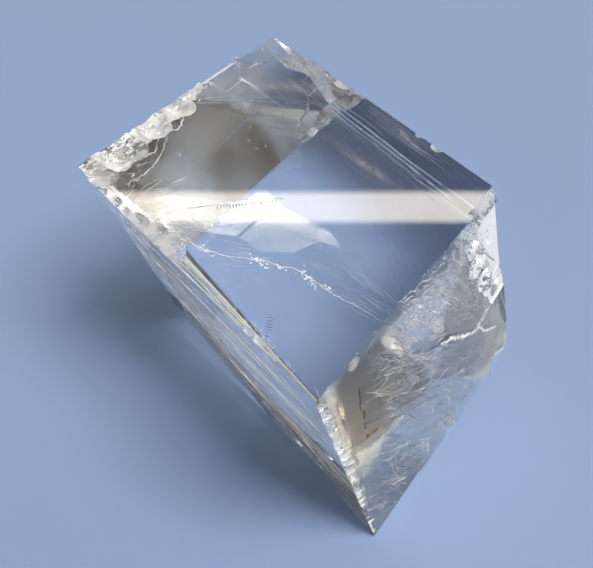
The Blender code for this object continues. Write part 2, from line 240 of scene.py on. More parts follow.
def add_waves(material, shader, place):
    """The long, low waves of a cleavage face, which bend what is seen in it a little."""
    waves = add_noise(material, place, -5, -1, WAVE_SCALE, 1.0)
    add_relief(material, shader, waves, WAVE_HEIGHT)


def make_clear_calcite():
    material, shader, place = new_stone("clear_calcite", CLEAR_TINT)
    smear = add_noise(material, place, -5, 1, SMEAR_SCALE, 4.0)
    rough = map_range(material, -3, 1, smear, SMEAR_RANGE, CLEAR_ROUGHNESS)
    join(material, rough, shader.inputs["Roughness"])
    add_waves(material, shader, place)
    return material


clear_calcite = make_clear_calcite()
print("finish:", clear_calcite.name)

# %% The worn, broken and bruised finishes
PATCH_RANGE = (0.38, 0.62)
GRAIN_SCALE = 1300.0
# Each finish's tint, roughness, clearness, patches and height of its grain. The last one is for
# the clefts inside the stone.
BREAK_LOOKS = {
    "satin_calcite": ((0.96, 0.955, 0.93, 1.0), (0.08, 0.15), (0.99, 1.0), 150.0, 0.04),
    "worn_calcite": ((0.9, 0.87, 0.8, 1.0), (0.06, 0.14), (0.975, 1.0), 260.0, 0.06),
    "scuffed_calcite": ((0.86, 0.8, 0.68, 1.0), (0.25, 0.4), (0.76, 0.9), 150.0, 0.05),
    "broken_calcite": ((0.9, 0.895, 0.87, 1.0), (0.12, 0.42), (0.6, 0.98), 260.0, 0.4),
    "bruised_calcite": ((0.95, 0.95, 0.93, 1.0), (0.3, 0.6), (0.2, 0.75), 500.0, 0.9),
    "crushed_calcite": ((0.98, 0.98, 0.97, 1.0), (0.4, 0.7), (0.0, 0.25), 500.0, 0.8),
    "cleft_calcite": ((1.0, 1.0, 1.0, 1.0), (0.02, 0.14), (1.0, 1.0), 200.0, 0.02),
}


def make_broken_calcite(name, tint, roughness, clearness, patch_scale, grain):
    """A finish with glossier, clearer patches and rougher, whiter ones."""
    material, shader, place = new_stone(name, tint)
    patches = add_noise(material, place, -5, 1, patch_scale, 4.0)
    rough = map_range(material, -3, 2, patches, PATCH_RANGE, roughness)
    join(material, rough, shader.inputs["Roughness"])
    clear = map_range(material, -3, 1, patches, PATCH_RANGE[::-1], clearness)
    join(material, clear, shader.inputs["Transmission Weight"])
    fine = add_noise(material, place, -5, -1, GRAIN_SCALE, 3.0)
    add_relief(material, shader, fine, grain)
    return material


(
    satin_calcite,
    worn_calcite,
    scuffed_calcite,
    broken_calcite,
    bruised_calcite,
    crushed_calcite,
    cleft_calcite,
) = [make_broken_calcite(name, *look) for name, look in BREAK_LOOKS.items()]
CURVED_FINISHES = (broken_calcite, bruised_calcite, crushed_calcite, cleft_calcite)
print("finishes for curved breaks:", [finish.name for finish in CURVED_FINISHES])

# %% [markdown]
# ## The cleft's index and the gold tint
#
# A cleft is a gap inside the stone, thinner than a hair, so it mirrors less than a full surface
# does. A lower refractive index is the plainest way to say so. And the worn front face's tint
# turns gold near its left edge: the tint fades with the distance from one place on the stone.

# %% The cleft's index and the gold tint
CLEFT_IOR = 1.38
GOLD_TINT_PLACE = LATTICE @ Vector((4.5, 0.0, 13.0))
GOLD_TINT_REACH = (0.003, 0.017)
GOLD_TINT = (0.86, 0.66, 0.34, 1.0)


def tint_gold_near(material):
    """Turns the material's tint to gold near one place on the stone."""
    shader = shader_of(material)
    place = add_node(material, "ShaderNodeTexCoord", -7, 3).outputs["Object"]
    away = add_node(material, "ShaderNodeVectorMath", -5, 3, operation="DISTANCE")
    join(material, place, away.inputs[0])
    away.inputs[1].default_value = GOLD_TINT_PLACE
    near = map_range(material, -4, 3, away.outputs["Value"], GOLD_TINT_REACH, (1.0, 0.0))
    mixed = add_node(material, "ShaderNodeMix", -2, 3, data_type="RGBA")
    join(material, near, mixed.inputs["Factor"])
    mixed.inputs[6].default_value = tuple(shader.inputs["Base Color"].default_value)
    mixed.inputs[7].default_value = GOLD_TINT
    join(material, mixed.outputs[2], shader.inputs["Base Color"])


shader_of(cleft_calcite).inputs["IOR"].default_value = CLEFT_IOR
tint_gold_near(worn_calcite)
print("gold_tinted:", worn_calcite.name)

# %% [markdown]
# ## Scuffs
#
# Two soft scuffs run low along the right side, one on the base and one just above it, where the
# stone has been slid about. They are seen through the stone. A scuff has no edge, so it's a
# finish and not a cut: the surface turns dull near a line, more in some places than in others.

# %% Scuffs
# Both ends of each scuff on the stone, and how far its middle and its border reach, in metres.
SCUFFS = (
    (Vector((48.2, 58.0, LENGTH_R)), Vector((49.9, 36.0, LENGTH_R)), (0.0003, 0.0017)),
    (Vector((LENGTH_P, 48.0, 43.8)), Vector((LENGTH_P, 27.0, 45.6)), (0.0002, 0.0013)),
)
SCUFF_ENDS = (0.5, 1.05)
SCUFF_ROUGHNESS = (0.0, 0.36)
SCUFF_CLEARNESS = (1.0, 0.6)
SCUFF_PATCHES = 330.0
SCUFF_PATCH_RANGE = (0.36, 0.56)
SCUFF_LEAST = 0.3


def vector_math(material, column, row, operation, first, second):
    """A vector sum. Each of the two values is a socket or a constant."""
    maths = add_node(material, "ShaderNodeVectorMath", column, row, operation=operation)
    for value, socket in zip((first, second), maths.inputs):
        if isinstance(value, bpy.types.NodeSocket):
            join(material, value, socket)
        elif value is not None:
            socket.default_value = value
    return maths.outputs["Value" if operation == "LENGTH" else "Vector"]


def combine(material, column, row, operation, first, second):
    maths = add_node(material, "ShaderNodeMath", column, row, operation=operation)
    join(material, first, maths.inputs[0])
    join(material, second, maths.inputs[1])
    return maths.outputs["Value"]


def near_line(material, place, row, start, end, reach):
    """1 in the middle of a scuff and 0 beyond its border and its ends."""
    stretch = LATTICE @ end - LATTICE @ start
    middle = LATTICE @ start.lerp(end, 0.5)
    off = vector_math(material, -15, row, "SUBTRACT", place, middle)
    along = vector_math(material, -14, row, "PROJECT", off, stretch)
    aside = vector_math(material, -13, row, "SUBTRACT", off, along)
    across = vector_math(material, -12, row, "LENGTH", aside, None)
    run = vector_math(material, -12, row - 1, "LENGTH", along, None)
    half = stretch.length / 2
    ends = (half * SCUFF_ENDS[0], half * SCUFF_ENDS[1])
    in_band = map_range(material, -11, row, across, reach, (1.0, 0.0))
    in_run = map_range(material, -11, row - 1, run, ends, (1.0, 0.0))
    return combine(material, -10, row, "MULTIPLY", in_band, in_run)


def make_slid_calcite():
    material, shader, place = new_stone("slid_calcite", CLEAR_TINT)
    masks = [near_line(material, place, 3 * k, *scuff) for k, scuff in enumerate(SCUFFS)]
    scuffed = combine(material, -9, 0, "MAXIMUM", *masks)
    cloud = add_noise(material, place, -9, 2, SCUFF_PATCHES, 3.0)
    uneven = map_range(material, -8, 2, cloud, SCUFF_PATCH_RANGE, (SCUFF_LEAST, 1.0))
    dull = combine(material, -7, 1, "MULTIPLY", scuffed, uneven)
    rough = map_range(material, -5, 2, dull, (0.0, 1.0), SCUFF_ROUGHNESS)
    join(material, rough, shader.inputs["Roughness"])
    clear = map_range(material, -5, 0, dull, (0.0, 1.0), SCUFF_CLEARNESS)
    join(material, clear, shader.inputs["Transmission Weight"])
    add_waves(material, shader, place)
    return material


slid_calcite = make_slid_calcite()
print("finish:", slid_calcite.name)

# %% [markdown]
# ## Cutting tools
#
# A real crystal loses material, so the finer breaks are cut from the solid too, with one
# Boolean modifier. Each tool is a closed shape that is kept hidden. It carries the finish of
# the surface that it leaves behind, and the Boolean hands that finish on, so no face has to be
# picked out by hand afterwards. A floor's depth is measured from the whole cleavage face. Where
# sheets are missing from the solid, a ray from outside tells how much deeper its surface lies.

# %% Helpers for cutting tools
tools = bpy.data.collections.new("cutting_tools")
PROUD = 1.0
RIBBON_TIP = 0.25


def add_tool(shape, finish):
    """Turns a closed bmesh into a hidden cutting tool that leaves this finish."""
    bmesh.ops.recalc_face_normals(shape, faces=shape.faces)
    if shape.calc_volume(signed=True) < 0:
        bmesh.ops.reverse_faces(shape, faces=shape.faces)
    mesh = bpy.data.meshes.new("tool")
    shape.to_mesh(mesh)
    shape.free()
    mesh.materials.append(finish)
    tools.objects.link(bpy.data.objects.new("tool", mesh))


def grown_vertices(shape):
    """Extrudes all the faces of a sheet and gives the new vertices."""
    grown = bmesh.ops.extrude_face_region(shape, geom=list(shape.faces))
    return [item for item in grown["geom"] if isinstance(item, bmesh.types.BMVert)]


def level(depth):
    """The floor of a cut that is the same depth all over."""
    return lambda along, across: depth


def cut_sheet(face, outline, floor, finish=clear_calcite):
    """A slab with this outline on a face. floor(along, across) is its depth, a flat function."""
    slab = bmesh.new()
    slab.faces.new([slab.verts.new(face_point(face, x, y, -PROUD)) for x, y in outline])
    corner, first, second, _, _ = FACES[face]
    for vert in grown_vertices(slab):
        along, across = vert.co[first] - corner[first], vert.co[second] - corner[second]
        vert.co = face_point(face, along, across, floor(along, across))
    slab.transform(LATTICE)
    add_tool(slab, finish)


solid_faces = BVHTree.FromPolygons(
    [vert.co for vert in cad_crystal.data.vertices],
    [polygon.vertices for polygon in cad_crystal.data.polygons],
)


def sunk(face, line):
    """How deep the solid's surface lies below a whole cleavage face, at the line's highest point."""
    _, _, _, inward, sign = FACES[face]
    way = edge_way(inward) * sign
    depths = []
    for x, y in line:
        outside = LATTICE @ face_point(face, x, y, -PROUD)
        _, _, _, distance = solid_faces.ray_cast(outside, way)
        if distance:
            depths.append(distance / MM - PROUD)
    return max(0.0, min(depths, default=0.0))


def ragged(line, jag, pitch, rng):
    """The line with points added about every pitch, each pushed to one side by up to jag."""
    points = []
    for start, end in zip(line, line[1:]):
        stretch = Vector(end) - Vector(start)
        sideways = stretch.orthogonal().normalized()
        pieces = max(1, round(stretch.length / pitch))
        points.append(Vector(start))
        for k in range(1, pieces):
            push = sideways * rng.uniform(-jag, jag)
            points.append(Vector(start) + stretch * (k / pieces) + push)
    points.append(Vector(line[-1]))
    return points


def cut_ribbon(face, line, width, floor, rng, finish=bruised_calcite, uneven=0.5):
    """A shallow ribbon along a line, of uneven width, that runs out to a point at both ends."""
    least, most = 1 - uneven, 1 + uneven
    left, right = [], []
    for k, point in enumerate(line):
        before, after = line[max(0, k - 1)], line[min(len(line) - 1, k + 1)]
        sideways = (after - before).orthogonal().normalized()
        taper = RIBBON_TIP + (1 - RIBBON_TIP) * math.sin(math.pi * k / (len(line) - 1))
        left.append(point + sideways * width / 2 * taper * rng.uniform(least, most))
        right.append(point - sideways * width / 2 * taper * rng.uniform(least, most))
    cut_sheet(face, left + right[::-1], floor, finish)


def cut_crumb(middle, radius, along, stretch, rng, finish=bruised_calcite):
    """A rough ball of 20 faces at a lattice point, turned at random and stretched one way."""
    crumb = bmesh.new()
    bmesh.ops.create_icosphere(crumb, subdivisions=1, radius=radius * MM)
    pole = Vector([rng.gauss(0, 1) for _ in range(3)]).normalized()
    spin = Quaternion(pole, rng.uniform(0, math.pi))
    crumb.transform(spin.to_matrix().to_4x4())
    crumb.transform(Matrix.Scale(stretch, 4, along))
    crumb.transform(Matrix.Translation(LATTICE @ middle))
    add_tool(crumb, finish)


# %% [markdown]
# ## Stepped left face
#
# Thin sheets have split away from the left face, one behind the other. The solid has the seven
# boldest steps. Real cleavage is finer, so each gap between the first six gets more steps here,
# blended from the two lines, and a groove marks where each sheet tore off, some bruised pale.

# %% Stepped left face
BEFORE = -2.0
PAST_P = LENGTH_P + 2.0
PAST_Q = LENGTH_Q + 2.0
PAST_R = LENGTH_R + 2.0
LEFT_STEPS = (
    (((PAST_Q, -3.5), (46.5, 7.4), (26.6, 23.3), (22.0, 24.6), (10.0, 24.0), (BEFORE, 24.6)), 0.5),
    (((PAST_Q, 3.4), (47.0, 13.6), (33.0, 24.4), (24.0, 26.4), (10.0, 25.6), (BEFORE, 25.6)), 1.0),
    (((PAST_Q, 7.6), (45.0, 19.6), (36.0, 25.6), (26.0, 28.6), (12.0, 27.6), (BEFORE, 27.4)), 1.5),
    (((PAST_Q, 13.2), (48.0, 22.6), (40.0, 27.4), (24.0, 30.4), (8.0, 29.8), (BEFORE, 30.2)), 2.1),
    (((PAST_Q, 26.0), (44.0, 33.0), (30.0, 36.6), (14.0, 36.2), (4.0, 33.4), (BEFORE, 33.0)), 2.6),
    (((PAST_Q, 34.5), (46.0, 40.0), (28.0, 43.5), (16.0, 43.4), (10.0, 43.0), (BEFORE, 41.0)), 3.2),
)
FINER_SHARES = (0.22, 0.48, 0.76)
LEFT_STEP_JAG = (0.22, 1.6)
LEFT_GROOVE_WIDTH = (0.6, 1.8)
LEFT_GROOVE_DEPTH = (0.12, 0.35)
GROOVE_FINISHES = (crushed_calcite, bruised_calcite, clear_calcite)
left_rng = random.Random(5)


def blend(line_a, line_b, share):
    return [Vector(a).lerp(Vector(b), share) for a, b in zip(line_a, line_b)]


def left_floor(deepest, extra=0.0):
    return lambda q, r: deepest * q / LENGTH_Q + extra


for (line_a, depth_a), (line_b, depth_b) in zip(LEFT_STEPS, LEFT_STEPS[1:]):
    for share in FINER_SHARES:
        step_line = ragged(blend(line_a, line_b, share), *LEFT_STEP_JAG, left_rng)
        deepest = depth_a + (depth_b - depth_a) * share
        outline = step_line + [Vector((BEFORE, PAST_R)), Vector((PAST_Q, PAST_R))]
        cut_sheet("left", outline, left_floor(deepest))
        width = left_rng.uniform(*LEFT_GROOVE_WIDTH)
        extra = left_rng.uniform(*LEFT_GROOVE_DEPTH)
        finish = left_rng.choice(GROOVE_FINISHES)
        cut_ribbon("left", step_line, width, left_floor(deepest, extra), left_rng, finish)

# %% Hairlines along the sheets
HAIRLINE_COUNT = 60
HAIRLINE_Q = (8.0, 54.0)
HAIRLINE_R = (1.0, 46.0)
HAIRLINE_HALF = (5.0, 20.0)
HAIRLINE_ENDS = (1.0, 58.5)
HAIRLINE_WIDTH = (0.3, 1.3)
HAIRLINE_SLOPE = 0.05
HAIRLINE_JAG = (0.15, 2.5)
HAIRLINE_FINISHES = (bruised_calcite, satin_calcite) + (clear_calcite,) * 3


def sheet_depth(q, r):
    """The full depth of the sheets that have split away at a place on the left face."""
    deepest = 0.0
    for line, depth in LEFT_STEPS:
        for (q_a, r_a), (q_b, r_b) in zip(line, line[1:]):
            if q_b <= q <= q_a and r > r_a + (r_b - r_a) * (q_a - q) / (q_a - q_b):
                deepest = depth
    return deepest


for _ in range(HAIRLINE_COUNT):
    q, r = left_rng.uniform(*HAIRLINE_Q), left_rng.uniform(*HAIRLINE_R)
    half = left_rng.uniform(*HAIRLINE_HALF)
    ends = max(HAIRLINE_ENDS[0], q - half), min(HAIRLINE_ENDS[1], q + half)
    hairline = [Vector((end, r + (q - end) * HAIRLINE_SLOPE)) for end in ends]
    hairline = ragged(hairline, *HAIRLINE_JAG, left_rng)
    floor = left_floor(sheet_depth(q, r), left_rng.uniform(*LEFT_GROOVE_DEPTH))
    finish = left_rng.choice(HAIRLINE_FINISHES)
    cut_ribbon("left", hairline, left_rng.uniform(*HAIRLINE_WIDTH), floor, left_rng, finish)

# %% [markdown]
# ## Shell-shaped chips
#
# Where a blow lands on an edge, calcite lets go of a shell-shaped flake. The hollow that it
# leaves is a shallow dish with fine ribs that ring the point of the blow, like ripples round a
# stone in water. A grid of small cells, bent into that dish, can hold the ribs. The dishes lie
# where the solid has its plain ones, a hair deeper, so that the plain ones are cut away.

# %% Shell-shaped chips
RIB_PITCH = 1.25
RIB_HEIGHT = 0.014
SHELL_CELL = 0.26
MOST_CELLS = 64
SHELL_MARGIN = 1.25
SHELL_LID = 3.0
SHELL_RIPPLE = 0.3
SHELL_RIPPLES_ACROSS = 1.7
RIB_WANDER = 4.4
RIB_WANDERS_PER_MM = 0.45
DEEPER = 0.06


def cut_shell(face, along, across, reach, width, depth, finish=broken_calcite):
    """A dished and ribbed chip that dips to its depth under one point of an edge."""
    shell = bmesh.new()
    cells = min(MOST_CELLS, max(8, round(2 * SHELL_MARGIN * reach / SHELL_CELL)))
    bmesh.ops.create_grid(shell, x_segments=cells, y_segments=cells, size=reach * SHELL_MARGIN)
    seed = Vector((along, across, 0))
    for vert in shell.verts:
        place = vert.co / reach
        ripple = noise.noise(place * SHELL_RIPPLES_ACROSS + seed)
        wander = noise.noise(vert.co * RIB_WANDERS_PER_MM + seed) * RIB_WANDER
        rib = math.sin(2 * math.pi * vert.co.length / RIB_PITCH + wander)
        dish = depth * (place.length_squared - 1 + SHELL_RIPPLE * ripple)
        vert.co.z = dish - DEEPER + RIB_HEIGHT * rib * min(1, place.length)
    for vert in grown_vertices(shell):
        vert.co.z = SHELL_LID
    along_edge = edge_way(FACES[face][1])
    out = outward_normal(face)
    axes = Matrix((along_edge * width, out.cross(along_edge), out)).transposed().to_4x4()
    middle = LATTICE @ face_point(face, along, across, 0)
    shell.transform(Matrix.Translation(middle) @ axes @ Matrix.Scale(MM, 4))
    add_tool(shell, finish)


print("the rib of a shell is this high in mm:", RIB_HEIGHT)

# %% Chips along the rear top edge
# Place along p, reach and depth on the rear top edge.
REAR_EDGE_CHIPS = (
    (0.6, 7.8, 0.6),
    (4.9, 6.9, 0.45),
    (8.6, 7.6, 0.75),
    (12.8, 5.4, 0.4),
    (16.4, 6.2, 0.7),
    (20.7, 4.4, 0.4),
    (23.9, 5.2, 0.6),
    (27.8, 2.9, 0.35),
    (30.8, 2.1, 0.3),
    (33.0, 1.3, 0.25),
)
REAR_CHIP_WIDTH = 0.66
BROKEN_REACH = 7.0

for p, reach, depth in REAR_EDGE_CHIPS:
    finish = broken_calcite if reach > BROKEN_REACH else bruised_calcite
    cut_shell("top", p, LENGTH_Q, reach, REAR_CHIP_WIDTH, depth, finish)

# %% [markdown]
# ## The crushed rear rim
#
# The rear top edge took many blows. Crumbs are strewn in the floors of its chips, thickest at the
# edge, and beyond the chips a narrow slope is crushed white. One sloping sheet makes the slope.

# %% The crushed rear rim
CRUSHED_SLOPE = (
    (32.6, 59.4), (34.0, 58.6), (36.4, 58.9), (39.5, 58.5), (42.4, 58.7), (43.0, 60.6), (32.6, 60.6),
)
SLOPE_JAG = (0.2, 0.8)
SLOPE_FROM = 58.5
SLOPE_DEPTH = 0.1
SLOPE_STEEPNESS = 0.35
# Crumbs in the floors of the chips: the stretch along p, how far they spread in, radius and count.
RIM_CRUMBS = (
    ((0.0, 9.0), 2.6, (0.1, 0.32), 150),
    ((8.0, 20.0), 2.0, (0.1, 0.36), 170),
    ((19.0, 34.0), 1.4, (0.08, 0.3), 150),
)
RIM_CRUMB_DEPTH = (0.1, 0.9)
RIM_CRUMB_STRETCH = (1.0, 3.5)
WHITE_FINISHES = (crushed_calcite, bruised_calcite)
rim_rng = random.Random(11)


def slope_floor(p, q):
    return SLOPE_DEPTH + SLOPE_STEEPNESS * (q - SLOPE_FROM)


cut_sheet("top", ragged(CRUSHED_SLOPE, *SLOPE_JAG, rim_rng), slope_floor, crushed_calcite)
for stretch_p, spread, radii, count in RIM_CRUMBS:
    for _ in range(count):
        inward = abs(rim_rng.gauss(0, spread))
        depth = rim_rng.uniform(*RIM_CRUMB_DEPTH)
        middle = face_point("top", rim_rng.uniform(*stretch_p), LENGTH_Q - inward, depth)
        finish = rim_rng.choice(WHITE_FINISHES)
        radius = rim_rng.uniform(*radii)
        stretch = rim_rng.uniform(*RIM_CRUMB_STRETCH)
        cut_crumb(middle, radius, edge_way(P_AXIS), stretch, rim_rng, finish)

# %% Chips along the other edges
# Place along q, reach and depth on the left and right top edges.
LEFT_EDGE_CHIPS = (
    (51.6, 1.1, 0.45),
    (48.6, 1.6, 0.5),
    (45.6, 1.4, 0.4),
    (42.6, 2.4, 0.5),
    (38.8, 3.2, 0.45),
    (34.8, 3.4, 0.35),
    (14.6, 1.1, 0.4),
    (12.4, 0.9, 0.35),
)
RIGHT_EDGE_CHIPS = (
    (41.6, 1.5, 0.6),
    (38.2, 1.9, 0.7),
    (35.0, 1.1, 0.5),
    (18.2, 0.9, 0.35),
    (14.0, 1.2, 0.45),
)
# Face, place along its two edges, reach and depth.
OTHER_CHIPS = (
    ("front", 52.4, 24.6, 2.6, 0.5),
    ("front", 50.6, 48.2, 4.2, 0.8),
    ("front", 28.4, 48.5, 1.8, 0.35),
    ("left", 59.9, 30.5, 2.8, 0.6),
    ("rear", 52.6, 47.4, 5.2, 1.0),
    ("rear", 45.8, 48.3, 3.0, 0.6),
    ("rear", 10.5, 48.4, 1.4, 0.3),
    ("right", 59.6, 21.0, 3.4, 0.7),
    ("right", 59.9, 16.2, 2.2, 0.5),
    ("right", 33.0, 48.4, 3.2, 0.6),
    ("right", 11.0, 48.3, 2.6, 0.5),
)
# Chips on the right face beyond this place along it are crushed white.
CRUSHED_FROM = 59.0

for q, reach, depth in LEFT_EDGE_CHIPS:
    cut_shell("top", 0, q, reach, 1, depth)
for q, reach, depth in RIGHT_EDGE_CHIPS:
    cut_shell("top", LENGTH_P, q, reach, 1, depth)
for face, along, across, reach, depth in OTHER_CHIPS:
    crushed = face == "right" and along > CRUSHED_FROM
    cut_shell(face, along, across, reach, 1, depth, crushed_calcite if crushed else broken_calcite)

# %% [markdown]
# ## The bruised corner
#
# The front right corner took the hardest knock. Under its bevel lies a flat facet, and under that
# a small white knob. The facet's white crushed finish is partly its tiny cracks and partly a
# painted highlight, standing in for the glare of light that shines through the corner. The solid
# has their shapes, so a sheet a hair deeper gives each its finish.

# %% The bruised corner
CORNER_FACET = (
    (47.8, 4.0),
    (49.3, 8.9),
    (51.4, 14.3),
    (54.4, 19.1),
    (55.6, 23.4),
    (PAST_P, 23.8),
    (PAST_P, 3.0),
    (50.6, 3.4),
)
FACET_JAG = (0.2, 1.0)
FACET_FROM = 46.2
FACET_DEPTH = 0.14
FACET_STEEPNESS = 0.075
CORNER_KNOB = (
    (54.8, 22.2),
    (51.4, 23.0),
    (47.4, 21.6),
    (50.2, 28.0),
    (54.6, 27.0),
    (PAST_P, 26.4),
    (PAST_P, 22.0),
)
KNOB_JAG = (0.3, 0.8)
KNOB_DEPTH = 0.35
corner_rng = random.Random(19)


def facet_floor(p, r):
    return FACET_DEPTH + FACET_STEEPNESS * (p - FACET_FROM)


# The facet's white finish is partly a painted highlight of light shining through the corner.
cut_sheet("front", ragged(CORNER_FACET, *FACET_JAG, corner_rng), facet_floor, crushed_calcite)
cut_sheet("front", ragged(CORNER_KNOB, *KNOB_JAG, corner_rng), level(KNOB_DEPTH), crushed_calcite)

# %% [markdown]
# ## The dull skin round the facet
#
# Round the facet the stone is dull, and thin feathers of it slant down to the facet's border. Two
# sheets no deeper than a hair make the dull skin. A feather is a ribbon whose floor rises to its
# tip, so that it fades out instead of ending in a step.

# %% The dull skin round the facet
# Finish, depth and outline in (p, r) on the front face.
DULL_OUTLINES = (
    (bruised_calcite, 0.02, (
        (43.5, 0.8), (48.0, 2.6), (50.6, 10.5), (54.5, 19.0),
        (55.0, 23.5), (49.5, 25.0), (44.5, 19.0), (42.0, 10.0),
    )),
    (crushed_calcite, 0.04, (
        (46.2, 2.4), (48.2, 3.6), (50.4, 10.0), (53.6, 17.6),
        (54.6, 23.0), (52.0, 22.0), (49.6, 16.6), (47.6, 9.0),
    )),
)
DULL_JAG = (0.5, 0.7)
BORDER = Vector(CORNER_FACET[0]), Vector(CORNER_FACET[4])
FEATHER_COUNT = 44
FEATHER_SPAN = (-0.05, 1.0)
FEATHER_OFFSET = Vector((0.3, 0.0))
FEATHER_LEAN = (112, 22)
FEATHER_REACH = (1.2, 4.2)
FEATHER_WIDTH = (0.25, 0.7)
FEATHER_DEPTH = 0.24
FEATHER_TIP = 0.1
FEATHER_OVERLAP = 0.6
FEATHER_JAG = (0.15, 0.5)
FEATHER_UNEVEN = 0.4
FEATHER_FINISHES = (bruised_calcite, crushed_calcite, crushed_calcite)
sliver_rng = random.Random(23)


def feather_floor(foot, heading, reach):
    """Deepest at the feather's foot, and running out at its tip."""
    full = 1 + FEATHER_TIP
    return lambda p, r: FEATHER_DEPTH * (full - (Vector((p, r)) - foot).dot(heading) / reach)


for finish, depth, outline in DULL_OUTLINES:
    cut_sheet("front", ragged(outline, *DULL_JAG, sliver_rng), level(depth), finish)
for _ in range(FEATHER_COUNT):
    share = sliver_rng.uniform(*FEATHER_SPAN)
    foot = BORDER[0].lerp(BORDER[1], share) + FEATHER_OFFSET
    lean = math.radians(sliver_rng.gauss(*FEATHER_LEAN))
    heading = Vector((math.cos(lean), math.sin(lean)))
    reach = sliver_rng.uniform(*FEATHER_REACH)
    width = sliver_rng.uniform(*FEATHER_WIDTH)
    ends = foot - heading * FEATHER_OVERLAP, foot + heading * reach
    line = ragged(ends, *FEATHER_JAG, sliver_rng)
    floor = feather_floor(foot, heading, reach)
    finish = sliver_rng.choice(FEATHER_FINISHES)
    cut_ribbon("front", line, width, floor, sliver_rng, finish, FEATHER_UNEVEN)

# %% [markdown]
# ## The cracks of the bruise
#
# Near the facet the stone is full of short white cracks, most of them under the surface. A few
# hundred thin slivers, strewn thickest at the corner, stand for them. Those that lie deeper are
# closed hollows in the stone, as the real ones are.

# %% The cracks of the bruise
# Middle in (p, r) on the front face, spread, greatest depth and count.
BRUISE_FIELDS = (
    ((48.0, 7.0), (1.3, 4.0), 0.8, 170),
    ((51.0, 16.5), (1.6, 3.5), 1.0, 150),
    ((46.0, 14.0), (3.0, 5.0), 0.6, 130),
    ((42.5, 4.0), (2.5, 2.2), 0.2, 90),
    ((50.5, 14.0), (1.8, 6.0), 1.5, 160),
)
SLIVER_RADIUS = (0.05, 0.15)
SLIVER_STRETCH = (3.0, 11.0)
SLIVER_WAY = edge_way(R_AXIS) * 0.8 + edge_way(P_AXIS) * 0.5
SLIVER_WANDER = 0.35
SLIVER_R = (0.5, LENGTH_R)
SLIVER_MARGIN = 0.6
SLIVER_FINISHES = (crushed_calcite, crushed_calcite, broken_calcite)


def between(value, ends):
    return ends[0] < value < ends[1]


def cut_sliver(middle, spread, deepest):
    """A crumb drawn out to a sliver, roughly along the knocked edge."""
    p = sliver_rng.gauss(middle[0], spread[0])
    r = sliver_rng.gauss(middle[1], spread[1])
    if not (between(r, SLIVER_R) and p < LENGTH_P - SLIVER_MARGIN):
        return
    place = face_point("front", p, r, sliver_rng.uniform(0.0, deepest))
    wander = Vector([sliver_rng.gauss(0, SLIVER_WANDER) for _ in range(3)])
    along = (SLIVER_WAY + wander).normalized()
    radius = sliver_rng.uniform(*SLIVER_RADIUS)
    finish = sliver_rng.choice(SLIVER_FINISHES)
    cut_crumb(place, radius, along, sliver_rng.uniform(*SLIVER_STRETCH), sliver_rng, finish)


for middle, spread, deepest, count in BRUISE_FIELDS:
    for _ in range(count):
        cut_sliver(middle, spread, deepest)

# %% [markdown]
# ## The rippled basin
#
# On the front face the break jumped from one cleavage plane to the next and left a fan of wavy
# little steps. The solid has five, so each gap gets finer ones, blended as on the left face.

# %% The rippled basin
BASIN_STEPS = (
    (((21.5, BEFORE), (23.0, 0.6), (26.8, 1.9), (30.8, 2.9), (35.2, 1.9), (41.0, 3.0)), 0.3),
    (((22.4, 3.4), (25.0, 4.4), (27.5, 6.1), (30.5, 6.2), (36.0, 5.0), (41.5, 5.6)), 0.6),
    (((21.6, 5.0), (25.3, 6.8), (29.2, 9.5), (33.0, 8.8), (38.0, 8.6), (43.0, 7.6)), 0.9),
    (((20.9, 7.0), (23.3, 8.2), (27.9, 11.2), (31.0, 12.6), (36.0, 11.6), (44.0, 10.4)), 1.15),
    (((21.8, 9.6), (25.0, 11.4), (28.6, 13.9), (32.0, 15.6), (38.0, 14.6), (45.0, 13.6)), 1.4),
)
BASIN_LEDGE = (
    (53.0, 21.0),
    (49.3, 27.6),
    (42.7, 29.6),
    (38.7, 26.6),
    (34.3, 22.1),
    (27.6, 18.6),
    (22.4, 14.1),
)
BASIN_RISE = 0.035
BASIN_SHARES = (0.0, 0.25, 0.5, 0.75)
LEDGE_SPACING = Vector((0.07, -0.35))
BASIN_STEP_JAG = (0.4, 0.7)
BASIN_LEDGE_JAG = (0.4, 1.6)
BASIN_RIBBON = 0.24
BASIN_RIBBON_SHARE = (0.5, 1.3)
BASIN_RIBBON_DEPTH = 0.05
BASIN_SEEN = (0.55, 0.95)
basin_rng = random.Random(29)


def basin_floor(deepest):
    return lambda p, r: deepest * (1 - BASIN_RISE * (p - BASIN_LEDGE[-1][0]))


for k, ((line_a, depth_a), (line_b, depth_b)) in enumerate(zip(BASIN_STEPS, BASIN_STEPS[1:])):
    for share in BASIN_SHARES:
        step_line = ragged(blend(line_a, line_b, share), *BASIN_STEP_JAG, basin_rng)
        deepest = depth_a + (depth_b - depth_a) * share
        ledge = [Vector(point) + LEDGE_SPACING * (k + share) for point in BASIN_LEDGE]
        if share > 0:
            outline = step_line + ragged(ledge, *BASIN_LEDGE_JAG, basin_rng)
            cut_sheet("front", outline, basin_floor(deepest), worn_calcite)
        seen = step_line[: round(len(step_line) * basin_rng.uniform(*BASIN_SEEN))]
        width = BASIN_RIBBON * basin_rng.uniform(*BASIN_RIBBON_SHARE)
        cut_ribbon("front", seen, width, basin_floor(deepest + BASIN_RIBBON_DEPTH), basin_rng)

# %% [markdown]
# ## The ripples
#
# Beyond the basin the whole front face carries low, wavy ripples, where the break wandered up
# and down between cleavage planes. Each is a shallow groove that slopes to one side, so one
# border shows as a fine line and the rest only bends the light a little.

